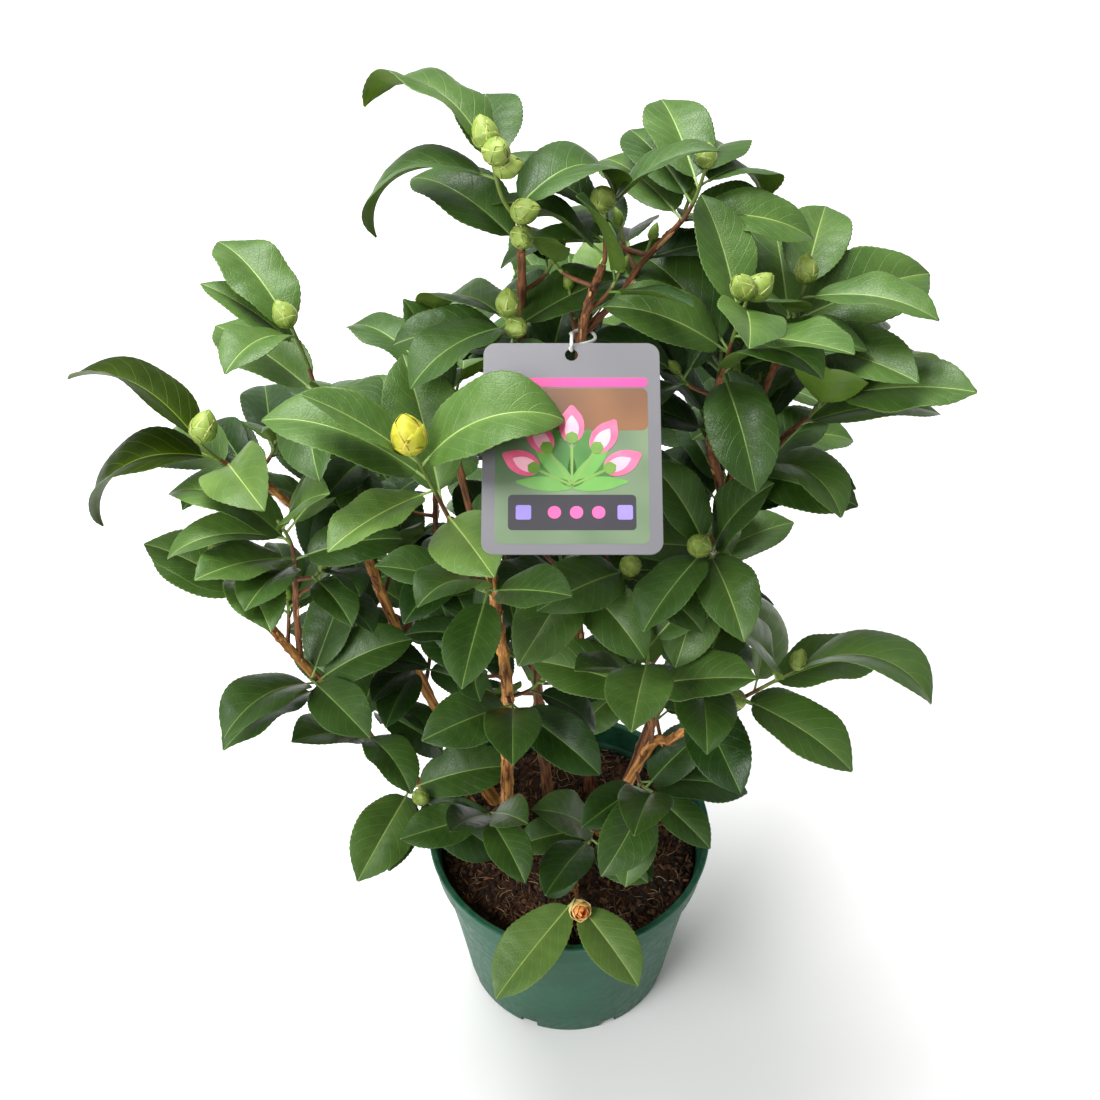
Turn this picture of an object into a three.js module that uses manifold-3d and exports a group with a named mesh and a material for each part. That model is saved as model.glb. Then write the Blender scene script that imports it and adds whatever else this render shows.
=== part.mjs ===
// A camellia shrub in its round nursery pot, in millimetres.
// The origin is the centre of the pot's flat underside, +X is the shrub's right and +Z is up.
// Stems rise from the potting mix, boughs leave the stems, and every leafy shoot is one solid.
import * as THREE from "three";
import { mergeVertices } from "three/addons/utils/BufferGeometryUtils.js";
import Module from "manifold-3d";

const wasm = await Module();
wasm.setup();

// Named sizes
const GAP = 0.3;
const POT_RIM_RADIUS = 95;
const POT_HEIGHT = 150;
const POT_BASE_RADIUS = 72;
const POT_WALL = 1.7;
const POT_FLOOR = 3;
const COLLAR_HEIGHT = 23;
const POT_SIDES = 40;
const DRAIN_SLOTS = 8;
const MIX_TOP = 132;
const MIX_EDGE = 128;
const STEM_SIDES = 6;
const BOUGH_SIDES = 5;
const FOOT_FLARE = 0.5;
const FLARE_REACH = 0.1;
const TWIG_SIDES = 3;
const TWIG_RADIUS = 1.35;
const TWIG_END_RADIUS = 0.9;
const GOLDEN_ANGLE = 137.5;
const PETIOLE = 8;
const PETIOLE_RADIUS = 0.75;
const BLADE_STEPS = 12;
const BLADE_HALF_WIDTH = 0.27;
const BLADE_FOLD = 16;
const BLADE_THICKNESS = 0.018;
const LEAF_CLEARANCE = 0.7;
const LEAF_TRIES = 8;
const POSED_SHIFTS = [[0, 0], [0, 8], [0, -8], [8, 0], [-8, 0], [8, 8], [-8, 8], [14, 0], [-14, 0], [0, 15],
  [0, -15], [16, 12], [-16, 12]];
const BUD_LENGTH = 19;
const BUD_RADIUS = 6.4;
const TAG_WIDTH = 82;
const TAG_LENGTH = 104;
const TAG_THICKNESS = 1;
const TAG_TOP = [-3, -55, 627];
const TAG_SLOPE = 24;

const UP = new THREE.Vector3(0, 0, 1);
const radians = THREE.MathUtils.degToRad;
const vector = (row) => new THREE.Vector3(row[0], row[1], row[2]);

// Solids from plain lists of points and faces
function solid(points, faces) {
  const vertProperties = new Float32Array(points.flatMap((point) => [point.x, point.y, point.z]));
  const triVerts = new Uint32Array(faces.flat());
  return new wasm.Manifold(new wasm.Mesh({ numProp: 3, vertProperties, triVerts }));
}

function solidOfGeometry(geometry) {
  const bare = geometry.clone();
  bare.deleteAttribute("normal");
  bare.deleteAttribute("uv");
  const merged = mergeVertices(bare, 1e-4);
  const vertProperties = new Float32Array(merged.attributes.position.array);
  const triVerts = new Uint32Array(merged.index.array);
  return new wasm.Manifold(new wasm.Mesh({ numProp: 3, vertProperties, triVerts }));
}

// A skin over rings of points, closed by a flat end or by a point at each end
function skin(rings) {
  const points = rings.flat();
  const faces = [];
  const starts = [];
  let count = 0;
  for (const ring of rings) {
    starts.push(count);
    count += ring.length;
  }
  for (let r = 0; r < rings.length - 1; r++) {
    const low = rings[r].length;
    const high = rings[r + 1].length;
    const sides = Math.max(low, high);
    for (let k = 0; k < sides; k++) {
      const next = (k + 1) % sides;
      const a = starts[r] + Math.min(k, low - 1);
      const b = starts[r] + (next < low ? next : next === sides - 1 ? low - 1 : 0);
      const c = starts[r + 1] + (high === 1 ? 0 : next);
      const d = starts[r + 1] + (high === 1 ? 0 : k);
      if (a !== b) faces.push([a, b, c]);
      if (c !== d) faces.push([a, c, d]);
    }
  }
  const first = rings[0].length;
  for (let k = 1; k < first - 1; k++) faces.push([starts[0], starts[0] + k + 1, starts[0] + k]);
  const end = starts[rings.length - 1];
  const last = rings[rings.length - 1].length;
  for (let k = 1; k < last - 1; k++) faces.push([end, end + k, end + k + 1]);
  return solid(points, faces);
}

// A smooth curve through the given points: its place and its heading at a share of the way
function along(points, share) {
  const spans = points.length - 1;
  const reach = Math.min(Math.max(share, 0), 1) * spans;
  const span = Math.min(Math.floor(reach), spans - 1);
  const f = reach - span;
  const b = points[span];
  const c = points[span + 1];
  const a = span > 0 ? points[span - 1] : b.clone().multiplyScalar(2).sub(c);
  const d = span + 2 <= spans ? points[span + 2] : c.clone().multiplyScalar(2).sub(b);
  const mix = (wa, wb, wc, wd) => a.clone().multiplyScalar(wa).addScaledVector(b, wb)
    .addScaledVector(c, wc).addScaledVector(d, wd);
  const at = mix((-f + 2 * f * f - f ** 3) / 2, (2 - 5 * f * f + 3 * f ** 3) / 2,
    (f + 4 * f * f - 3 * f ** 3) / 2, (-f * f + f ** 3) / 2);
  const way = mix((-1 + 4 * f - 3 * f * f) / 2, (-10 * f + 9 * f * f) / 2,
    (1 + 8 * f - 9 * f * f) / 2, (-2 * f + 3 * f * f) / 2).normalize();
  return { at, way };
}

// A tapering limb along the curve
function limb(points, radius, endRadius, sides, rings, widen = 0, flare = 0) {
  const list = [];
  let side = null;
  for (let r = 0; r <= rings; r++) {
    const share = r / rings;
    const { at, way } = along(points, share);
    if (side === null) side = new THREE.Vector3(0, 1, 0).cross(way).normalize();
    side.addScaledVector(way, -side.dot(way)).normalize();
    const other = way.clone().cross(side);
    const spread = 1 + flare * Math.max(0, 1 - share / FLARE_REACH) ** 2;
    const size = (radius + (endRadius - radius) * share) * spread + widen;
    const ring = [];
    for (let k = 0; k < sides; k++) {
      const turn = 2 * Math.PI * k / sides;
      ring.push(at.clone().addScaledVector(side, size * Math.cos(turn))
        .addScaledVector(other, size * Math.sin(turn)));
    }
    list.push(ring);
  }
  return skin(list);
}

// The seeded draw that every shoot grows by
function seeded(seed) {
  let state = seed * 7919;
  return (low, high) => {
    state = (state * 48271) % 2147483647;
    return low + (high - low) * state / 2147483647;
  };
}

function headingOf(bearing, rise) {
  const b = radians(bearing);
  const r = radians(rise);
  return new THREE.Vector3(Math.cos(r) * Math.cos(b), Math.cos(r) * Math.sin(b), Math.sin(r));
}

function acrossOf(way, turn) {
  const steep = Math.abs(way.z) >= 0.98;
  const e = steep ? way.clone().cross(new THREE.Vector3(0, 1, 0)) : way.clone().cross(UP).normalize();
  const f = way.clone().cross(e);
  return e.multiplyScalar(Math.cos(radians(turn))).addScaledVector(f, Math.sin(radians(turn)));
}

// The midrib of one blade: the end of the leaf stalk, then equal steps to the drooping tip
function midrib({ at, out, lean, length, droop, roll }) {
  let normal = lean.clone().addScaledVector(out, -out.dot(lean)).normalize();
  const first = out.clone().cross(normal);
  normal = normal.multiplyScalar(Math.cos(radians(roll))).addScaledVector(first, Math.sin(radians(roll)));
  const side = out.clone().cross(normal);
  const place = at.clone().addScaledVector(out, PETIOLE);
  const rows = [{ place: place.clone(), normal: normal.clone() }];
  for (let k = 1; k <= BLADE_STEPS; k++) {
    const bend = radians(droop) * ((k - 0.5) / BLADE_STEPS) ** 1.5;
    place.addScaledVector(out, Math.cos(bend) * length / BLADE_STEPS)
      .addScaledVector(normal, -Math.sin(bend) * length / BLADE_STEPS);
    const turn = radians(droop) * (k / BLADE_STEPS) ** 1.5;
    rows.push({
      place: place.clone(),
      normal: normal.clone().multiplyScalar(Math.cos(turn)).addScaledVector(out, Math.sin(turn)),
    });
  }
  return { side, rows };
}

// A pointed oval leaf, folded along its midrib
function leafSolid(leaf, spare, fromStalk) {
  const { side, rows } = midrib(leaf);
  const thick = BLADE_THICKNESS * leaf.length / 2 + spare;
  const offset = (row, over, up) => row.place.clone().addScaledVector(side, over).addScaledVector(row.normal, up);
  const stalk = (row, size) => [
    offset(row, -size, -size / 2), offset(row, 0, size), offset(row, size, -size / 2),
  ];
  const section = (row, half, rise) => [
    offset(row, -half, rise), offset(row, 0, thick), offset(row, half, rise), offset(row, 0, -thick),
  ];
  const fold = Math.tan(radians(BLADE_FOLD));
  const rings = [];
  if (fromStalk) {
    const start = leaf.at.clone().addScaledVector(leaf.out, spare > 0 ? PETIOLE / 2 : 0);
    rings.push(stalk({ place: start, normal: rows[0].normal }, PETIOLE_RADIUS + spare));
  }
  rings.push(stalk(rows[0], PETIOLE_RADIUS + spare));
  for (const [step, share] of [[5, 1], [9, 0.66]]) {
    const half = BLADE_HALF_WIDTH * leaf.length * share;
    rings.push(section(rows[step], half + spare, half * fold));
  }
  const tip = rows[BLADE_STEPS].place.clone();
  if (spare > 0) tip.add(tip.clone().sub(rows[BLADE_STEPS - 1].place).setLength(spare * 2));
  rings.push([tip]);
  return skin(rings);
}

// A pointed egg-shaped bud with five sides
function budSolid(at, out, length, radius, spare = 0) {
  const e = acrossOf(out, 0);
  const f = out.clone().cross(e);
  const rings = [];
  for (const [share, width] of [[0, 0.2], [0.38, 1], [0.75, 0.72]]) {
    const ring = [];
    for (let k = 0; k < 5; k++) {
      const turn = 2 * Math.PI * k / 5;
      ring.push(at.clone().addScaledVector(out, length * share)
        .addScaledVector(e, (radius * width + spare) * Math.cos(turn))
        .addScaledVector(f, (radius * width + spare) * Math.sin(turn)));
    }
    rings.push(ring);
  }
  rings.push([at.clone().addScaledVector(out, length + spare)]);
  return skin(rings);
}

// Stems: name, points from the foot up, radius at the foot and at the end.
// Boughs: the same, with the limb they leave and the share of its way.
const LIMBS = [
  { name: "stem_front_left", through: [[-44, -5, 126], [-40, -22, 240], [-38, -38, 346], [-42, -50, 423],
    [-46, -60, 479], [-62, -80, 534]], radius: 4.2, end: 2.1 },
  { name: "stem_left", through: [[-62, 24, 126], [-92, 14, 172], [-112, 8, 205], [-136, -15, 292],
    [-157, -35, 370], [-170, -44, 412], [-176, -48, 437]], radius: 3.8, end: 1.9 },
  { name: "stem_mid_left", through: [[-50, 34, 126], [-76, 26, 210], [-98, 12, 310], [-112, 8, 378],
    [-120, 5, 418], [-143, 0, 445], [-169, -8, 490], [-181, -10, 501]], radius: 3.6, end: 1.8 },
  { name: "stem_centre", through: [[-12, 14, 126], [-22, 18, 300], [-27, 14, 480], [-27, 8, 632]],
    radius: 3.8, end: 2 },
  { name: "stem_back", through: [[16, 44, 126], [6, 30, 300], [-2, 6, 460], [3, -10, 594], [13, 10, 622]],
    radius: 3.6, end: 1.8 },
  { name: "stem_right", through: [[34, 30, 126], [58, 24, 260], [76, 15, 380], [83, 10, 452],
    [74, 6, 501], [73, 0, 541], [75, -5, 563]], radius: 3.8, end: 1.9 },
  { name: "stem_low_right", through: [[21, 8, 126], [33, -4, 190], [49, -35, 289], [59, -40, 300],
    [75, -45, 326], [94, -50, 350]], radius: 3.4, end: 1.8 },
  { name: "stem_low_front", through: [[3, -36, 126], [3, -50, 158], [4, -62, 166]], radius: 2, end: 1.5 },
  { name: "bough_inner_left", from: ["stem_front_left", 0.8], through: [[-56, -40, 506], [-64, -12, 531]],
    radius: 1.9, end: 1.5 },
  { name: "bough_left_upper", from: ["stem_left", 0.665], through: [[-154, -40, 418], [-152, -42, 440],
    [-150, -44, 461]], radius: 1.9, end: 1.5 },
  { name: "bough_left_top", from: ["stem_mid_left", 0.575], through: [[-123, 5, 469], [-128, 5, 507],
    [-134, 3, 541]], radius: 2, end: 1.5 },
  { name: "bough_top_right", from: ["stem_back", 0.75], through: [[22, 6, 606], [32, 22, 612],
    [52, 38, 626]], radius: 1.8, end: 1.4 },
  { name: "bough_right_back", from: ["stem_right", 0.52], through: [[93, 15, 490], [102, 22, 528],
    [110, 26, 556]], radius: 2, end: 1.6 },
  { name: "bough_right", from: ["stem_right", 0.48], through: [[100, 9, 475], [110, 9, 500],
    [118, 8, 513]], radius: 2, end: 1.6 },
  { name: "bough_low_right_upper", from: ["stem_low_right", 0.4], through: [[46, -50, 335],
    [43, -62, 375]], radius: 1.8, end: 1.4 },
  { name: "bough_back_left", from: ["stem_mid_left", 0.33], through: [[-86, 56, 350], [-82, 88, 410]],
    radius: 2, end: 1.5 },
  { name: "bough_back", from: ["stem_back", 0.36], through: [[6, 72, 360], [4, 104, 430]],
    radius: 2, end: 1.5 },
  { name: "bough_back_right", from: ["stem_right", 0.33], through: [[88, 62, 360], [98, 92, 405]],
    radius: 2, end: 1.5 },
  { name: "bough_back_low_left", from: ["stem_centre", 0.3], through: [[-30, 62, 262], [-38, 90, 282]],
    radius: 1.8, end: 1.4 },
  { name: "bough_back_low_right", from: ["stem_right", 0.14], through: [[62, 62, 226], [72, 92, 256]],
    radius: 1.8, end: 1.4 },
];

// Shoots: the limb and the share of its way where the shoot begins, the points its twig grows
// through, its leaf count, where the leaves begin, the turn of the first leaf, the leaf size,
// the number of side sprays, its seed, the leaves that it has shed, and its flower buds as
// [share, bearing, rise, size]. A posed leaf is [share, bearing, rise, length, droop, roll].
const SHOOTS = [
  { name: "leaves_top_left", from: ["stem_centre", 1], through: [[-28, 6, 650], [-36, 5, 667], [-41, 8, 691]],
    count: 8, first: 0.25, turn: 20, size: 1, sprays: 0, seed: 65, bare: [0, 1],
    buds: [[1, 120, 55, 0.9], [1, 70, 20, 0.8], [0.98, 300, 40, 0.9], [0.9, 350, 20, 0.8], [0.6, 340, 25, 0.85], [0.4, 280, 20, 0.8]],
    posed: [[0.95, 126, 33, 82, 106, 32], [0.9, 95, 8, 60, 30, 0],
      [0.85, 170, 15, 76, 128, 20], [0.2, 139, 22, 68, 50, 0],
      [0.6, 43, 23, 76, 118, -8]] },
  { name: "leaves_top_right", from: ["bough_top_right", 1], through: [[60, 44, 638], [64, 48, 652]],
    count: 8, first: 0.2, turn: 40, size: 0.9, sprays: 0, seed: 50, bare: [1],
    buds: [[1, 80, 40, 0.7]],
    posed: [[0.55, 115, 10, 62, 26, 0], [0.75, 103, 7, 64, 28, 0], [0.9, 74, 0, 60, 36, 0],
      [0.8, 49, 2, 63, 80, -7], [0.35, 30, -7, 63, 48, 0], [0.2, 121, 6, 66, 32, 0]] },
  { name: "leaves_right_upper", from: ["stem_right", 1], through: [[79, -10, 597], [83, -15, 623]],
    count: 8, first: 0.15, turn: 70, size: 0.95, sprays: 0, seed: 94,
    buds: [[1, 200, 60, 0.85], [0.97, 30, 35, 0.9]],
    posed: [[0.5, 131, 33, 78, 58, 0], [0.1, 322, 61, 70, 90, -10]] },
  { name: "leaves_right_back", from: ["bough_right_back", 1], through: [[114, 30, 572], [118, 32, 592]],
    count: 7, first: 0.2, turn: 0, size: 0.95, sprays: 1, seed: 19,
    buds: [[1, 90, 60, 0.85]],
    posed: [[0.9, 75, 19, 66, 25, 0], [0.6, 22, 22, 80, 40, 20], [0.1, 108, 16, 66, 30, 0]] },
  { name: "leaves_right", from: ["bough_right", 1], through: [[126, 6, 526], [136, 5, 541]],
    count: 8, first: 0.2, turn: 120, size: 1, sprays: 0, seed: 71, bare: [2],
    buds: [[1, 60, 50, 0.8]],
    posed: [[0.95, 338, 30, 70, 30, 10], [0.85, 39, 25, 72, 90, -30]] },
  { name: "leaves_right_fork", from: ["bough_right", 0.25], through: [[94, 0, 486], [96, -5, 494]],
    count: 6, first: 0.4, turn: 10, size: 0.95, sprays: 0, seed: 17, bare: [3],
    posed: [[0.75, 321, 48, 70, 100, -18]] },
  { name: "leaves_right_middle", from: ["stem_right", 0.44], through: [[78, -14, 438], [70, -34, 464]],
    count: 9, first: 0.25, turn: 50, size: 0.88, sprays: 1, seed: 19, bare: [1],
    buds: [[1, 230, 50, 0.9]] },
  { name: "leaves_low_right", from: ["stem_low_right", 1], through: [[112, -56, 375], [124, -60, 392]],
    count: 9, first: 0.1, turn: 80, size: 1, sprays: 1, seed: 100, bare: [5],
    buds: [[0.3, 230, 40, 0.85], [1, 60, 60, 0.7]],
    posed: [[0.5, 74, 26, 88, 118, 58], [0.95, 350, 45, 86, 102, -28],
      [0.35, 323, 7, 69, 40, 0]] },
  { name: "leaves_low_right_inner", from: ["stem_low_right", 0.78], through: [[72, -46, 352], [73, -47, 366]],
    count: 6, first: 0.45, turn: 30, size: 0.85, sprays: 0, seed: 43,
    buds: [[1, 100, 60, 1]],
    posed: [[0.8, 78, 6, 70, 22, 0], [0.4, 283, 16, 64, 50, 17]] },
  { name: "leaves_low_right_upper", from: ["bough_low_right_upper", 1], through: [[41, -68, 408], [39, -70, 430]],
    count: 8, first: 0.15, turn: 15, size: 0.85, sprays: 0, seed: 96,
    posed: [[0.3, 200, 55, 58, 40, 25], [0.5, 95, 12, 55, 25, 0], [0.7, 133, 30, 70, 85, 20]] },
  { name: "leaves_left_top", from: ["bough_left_top", 1], through: [[-138, 5, 562], [-144, 8, 584]],
    count: 9, first: 0.16, turn: 100, size: 0.92, sprays: 0, seed: 58, bare: [2, 3, 4],
    buds: [[1, 150, 60, 0.85]],
    posed: [[0.9, 126, 31, 67, 46, 10], [0.1, 139, 11, 71, 24, 0]] },
  { name: "leaves_far_left", from: ["stem_mid_left", 1], through: [[-190, -14, 514], [-196, -17, 526]],
    count: 8, first: 0.1, turn: 60, size: 1, sprays: 0, seed: 51, bare: [2, 3, 5],
    buds: [[1, 60, 50, 1]],
    posed: [[0.9, 138, 31, 84, 72, 35], [0.6, 182, 12, 84, 118, 16]] },
  { name: "leaves_front", from: ["stem_front_left", 1], through: [[-70, -90, 570], [-76, -98, 598]],
    count: 8, first: 0.1, turn: 30, size: 0.95, sprays: 0, seed: 97,
    buds: [[1, 140, 75, 1.15]],
    posed: [[0.7, 170, 40, 80, 60, 0], [0.85, -9, 58, 77, 103, 17]] },
  { name: "leaves_inner_left", from: ["bough_inner_left", 1], through: [[-72, 8, 540], [-78, 16, 550]],
    count: 9, first: 0.15, turn: 10, size: 0.85, sprays: 0, seed: 33, bare: [4],
    buds: [[1, 60, 45, 0.9]],
    posed: [[0.9, 133, 14, 58, 54, 8], [0.7, 116, 21, 54, 38, 0]] },
  { name: "leaves_left_upper", from: ["bough_left_upper", 1], through: [[-150, -46, 482], [-155, -46, 498]],
    count: 8, first: 0.1, turn: 45, size: 0.85, sprays: 0, seed: 11,
    posed: [[0.6, 155, 42, 70, 80, 15], [0.4, 223, 35, 59, 28, 0], [0.8, 60, 20, 62, 70, -15]] },
  { name: "leaves_left_low", from: ["stem_left", 1], through: [[-182, -50, 462], [-184, -52, 474]],
    count: 8, first: 0.1, turn: 0, size: 0.9, sprays: 0, seed: 75, bare: [1, 6],
    buds: [[1, 200, 70, 0.9]],
    posed: [[0.3, 161, 32, 56, 36, 0]] },
  { name: "leaves_left_stem", from: ["stem_left", 0.5], through: [[-150, -32, 344], [-152, -38, 356]],
    count: 6, first: 0.4, turn: 90, size: 0.85, sprays: 0, seed: 62,
    posed: [[0.6, 224, 38, 69, 72, 12], [0.9, 73, 40, 63, 15, -10]] },
  { name: "leaves_left_low_stem", from: ["stem_left", 0.38], through: [[-128, -26, 290], [-128, -34, 304]],
    count: 5, first: 0.4, turn: 150, size: 0.85, sprays: 0, seed: 100,
    posed: [[0.9, 68, 24, 63, 16, -10], [0.4, 224, 49, 62, 27, 0]] },
  { name: "leaves_left_foot", from: ["stem_left", 0.3], through: [[-104, -12, 210], [-96, -24, 216]],
    count: 7, first: 0.35, turn: 60, size: 0.85, sprays: 0, seed: 81,
    buds: [[0.9, 300, 50, 0.75]],
    posed: [[0.5, 250, 10, 69, 30, -15]] },
  { name: "leaves_front_foot", from: ["stem_front_left", 0.13], through: [[-50, -26, 204], [-54, -34, 212]],
    count: 5, first: 0.4, turn: 100, size: 0.8, sprays: 0, seed: 31,
    posed: [[0.7, 240, 48, 51, 24, 0]] },
  { name: "leaves_front_stem", from: ["stem_front_left", 0.39], through: [[-36, -48, 346], [-34, -54, 352]],
    count: 3, first: 0.7, turn: 0, size: 0.8, sprays: 0, seed: 79,
    posed: [[0.9, 271, 38, 59, 46, 0]] },
  { name: "leaves_front_fork", from: ["stem_front_left", 0.78], through: [[-44, -74, 474], [-46, -80, 480]],
    count: 4, first: 0.5, turn: 200, size: 0.8, sprays: 0, seed: 39,
    posed: [[0.7, 222, 58, 59, 72, 15]] },
  { name: "leaves_centre_top", from: ["stem_centre", 0.84], through: [[-31, -4, 590], [-34, -10, 606]],
    count: 8, first: 0.35, turn: 0, size: 0.9, sprays: 0, seed: 10,
    buds: [[1, 85, 70, 0.8], [0.75, 300, 20, 0.75]],
    posed: [[0.6, 53, 7, 68, 30, -5], [0.8, 130, 0, 65, 90, 15]] },
  { name: "leaves_centre_back", from: ["stem_back", 1], through: [[14, 24, 634], [14, 32, 642]],
    count: 8, first: 0.15, turn: 75, size: 0.9, sprays: 0, seed: 5,
    buds: [[1, 250, 60, 0.85]] },
  { name: "leaves_inner_front", from: ["stem_centre", 0.55], through: [[-6, -20, 430], [2, -38, 448]],
    count: 9, first: 0.25, turn: 0, size: 0.85, sprays: 1, seed: 29,
    buds: [[1, 270, 50, 0.85]] },
  { name: "leaves_inner_right", from: ["stem_back", 0.55], through: [[22, -24, 434], [30, -36, 450]],
    count: 8, first: 0.3, turn: 130, size: 0.85, sprays: 1, seed: 35,
    buds: [[1, 280, 60, 0.8]] },
  { name: "leaves_low_centre", from: ["stem_low_right", 0.12], through: [[16, -26, 184], [12, -42, 192]],
    count: 7, first: 0.35, turn: 20, size: 0.75, sprays: 0, seed: 47,
    posed: [[0.8, 241, 24, 55, 28, 0]] },
  { name: "leaves_low_front_right", from: ["stem_low_right", 0.3], through: [[44, -34, 246], [52, -48, 256]],
    count: 8, first: 0.32, turn: 60, size: 0.8, sprays: 0, seed: 60, bare: [6] },
  { name: "leaves_low_front", from: ["stem_low_front", 1], through: [[4, -68, 168], [4, -76, 172]],
    count: 4, first: 0.4, turn: 0, size: 0.85, sprays: 0, seed: 8,
    buds: [[1, 290, 35, 0.9]],
    posed: [[0.6, 228, -14, 74, 14, 4], [0.8, 304, 0, 61, 20, 0]] },
  { name: "leaves_inner_low_left", from: ["stem_mid_left", 0.24], through: [[-90, 44, 286], [-98, 56, 312]],
    count: 7, first: 0.3, turn: 0, size: 0.85, sprays: 0, seed: 4 },
  { name: "leaves_inner_low_centre", from: ["stem_centre", 0.3], through: [[-32, 36, 296], [-38, 50, 322]],
    count: 7, first: 0.3, turn: 60, size: 0.85, sprays: 0, seed: 6 },
  { name: "leaves_inner_low_right", from: ["stem_right", 0.3], through: [[44, 22, 282], [34, 16, 304]],
    count: 7, first: 0.3, turn: 90, size: 0.85, sprays: 0, seed: 7 },
  { name: "leaves_back_left", from: ["bough_back_left", 1], through: [[-80, 100, 440], [-78, 112, 465]],
    count: 9, first: 0.1, turn: 0, size: 0.95, sprays: 1, seed: 78,
    buds: [[1, 120, 60, 0.9]] },
  { name: "leaves_back", from: ["bough_back", 1], through: [[4, 118, 470], [4, 126, 505]],
    count: 9, first: 0.1, turn: 40, size: 0.95, sprays: 1, seed: 39,
    buds: [[1, 80, 60, 0.9], [0.7, 200, 40, 0.85]] },
  { name: "leaves_back_right", from: ["bough_back_right", 1], through: [[102, 104, 435], [108, 114, 462]],
    count: 9, first: 0.1, turn: 80, size: 0.95, sprays: 1, seed: 59,
    buds: [[1, 60, 55, 0.9]] },
  { name: "leaves_back_low_left", from: ["bough_back_low_left", 1], through: [[-44, 106, 306], [-48, 116, 332]],
    count: 8, first: 0.1, turn: 0, size: 0.9, sprays: 1, seed: 19,
    buds: [[1, 120, 50, 0.85]] },
  { name: "leaves_back_low_right", from: ["bough_back_low_right", 1], through: [[80, 108, 286], [84, 118, 314]],
    count: 8, first: 0.1, turn: 60, size: 0.9, sprays: 1, seed: 98,
    buds: [[1, 60, 50, 0.85]] },
];

// The pot: a tapering wall with a thicker collar and a rolled lip, drained at its foot
function potSolid() {
  const collar = POT_HEIGHT - COLLAR_HEIGHT;
  const wallTop = POT_RIM_RADIUS - 6.5;
  const outline = [
    [0, 0], [POT_BASE_RADIUS - 2, 0], [POT_BASE_RADIUS, 2], [wallTop, collar - 1],
    [POT_RIM_RADIUS - 3, collar + 1], [POT_RIM_RADIUS - 1.5, POT_HEIGHT - 4],
    [POT_RIM_RADIUS, POT_HEIGHT - 3.5], [POT_RIM_RADIUS, POT_HEIGHT],
    [POT_RIM_RADIUS - 4.4, POT_HEIGHT], [POT_RIM_RADIUS - 5, collar + 1],
    [wallTop - POT_WALL, collar - 2], [POT_BASE_RADIUS - POT_WALL, POT_FLOOR], [0, POT_FLOOR],
  ];
  const turned = new THREE.LatheGeometry(outline.map(([r, z]) => new THREE.Vector2(r, z)), POT_SIDES);
  turned.rotateX(Math.PI / 2);
  let pot = solidOfGeometry(turned);
  for (let k = 0; k < DRAIN_SLOTS; k++) {
    const slot = new THREE.BoxGeometry(14, 12, 9);
    slot.translate(POT_BASE_RADIUS - 1.5, 0, 3);
    slot.rotateZ(2 * Math.PI * (k + 0.5) / DRAIN_SLOTS);
    pot = pot.subtract(solidOfGeometry(slot));
  }
  return pot;
}

// The potting mix fills the pot just short of its wall
function mixSolid() {
  const wallTop = POT_RIM_RADIUS - 6.5;
  const foot = POT_BASE_RADIUS - POT_WALL - GAP - 0.1;
  const top = wallTop - POT_WALL - GAP - 0.3;
  const outline = [[0, POT_FLOOR + GAP], [foot, POT_FLOOR + GAP], [top, POT_HEIGHT - COLLAR_HEIGHT - 2],
    [top, MIX_EDGE - 1], [top - 2, MIX_EDGE], [top - 12, MIX_TOP], [0, MIX_TOP]];
  const turned = new THREE.LatheGeometry(outline.map(([r, z]) => new THREE.Vector2(r, z)), POT_SIDES);
  turned.rotateX(Math.PI / 2);
  return solidOfGeometry(turned);
}

// The label: a plate that leans over the leaves, held by a narrow loop round the back stem
function tagSolid() {
  const half = TAG_WIDTH / 2;
  const corner = 6;
  const edge = [];
  const centres = [[half - corner, -corner], [corner - half, -corner],
    [corner - half, corner - TAG_LENGTH], [half - corner, corner - TAG_LENGTH]];
  centres.forEach(([x, y], quarter) => {
    for (let k = 0; k <= 3; k++) {
      const turn = Math.PI / 2 * (quarter + k / 3);
      edge.push(new THREE.Vector2(x + corner * Math.cos(turn), y + corner * Math.sin(turn)));
    }
  });
  const shape = new THREE.Shape(edge);
  const ring = [];
  for (let k = 0; k < 8; k++) {
    ring.push(new THREE.Vector2(3 * Math.cos(-Math.PI * k / 4), -6 + 3 * Math.sin(-Math.PI * k / 4)));
  }
  shape.holes.push(new THREE.Path(ring));
  const plate = new THREE.ExtrudeGeometry(shape, { depth: TAG_THICKNESS, bevelEnabled: false });
  plate.rotateX(radians(TAG_SLOPE));
  plate.translate(...TAG_TOP);
  const slope = radians(TAG_SLOPE);
  const face = new THREE.Vector3(0, -Math.sin(slope), Math.cos(slope));
  const down = new THREE.Vector3(0, -Math.cos(slope), -Math.sin(slope));
  const hang = vector(TAG_TOP).addScaledVector(down, 3.4);
  const stem = new THREE.Vector3(3, -10, 594);
  const loop = [
    hang.clone().addScaledVector(face, 0.5),
    hang.clone().addScaledVector(face, 3).addScaledVector(down, -3),
    stem.clone().add(new THREE.Vector3(-5.5, -16, 14)),
    stem.clone().add(new THREE.Vector3(-5.5, 1, 0)),
    stem.clone().add(new THREE.Vector3(0, 6.5, -2)),
    stem.clone().add(new THREE.Vector3(5.5, 1, 0)),
    stem.clone().add(new THREE.Vector3(5, -16, 10)),
    hang.clone().addScaledVector(face, -2.4).addScaledVector(down, -3),
    hang.clone().addScaledVector(face, -0.2),
  ];
  return solidOfGeometry(plate).add(limb(loop, 0.8, 0.8, 4, 18));
}

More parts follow.
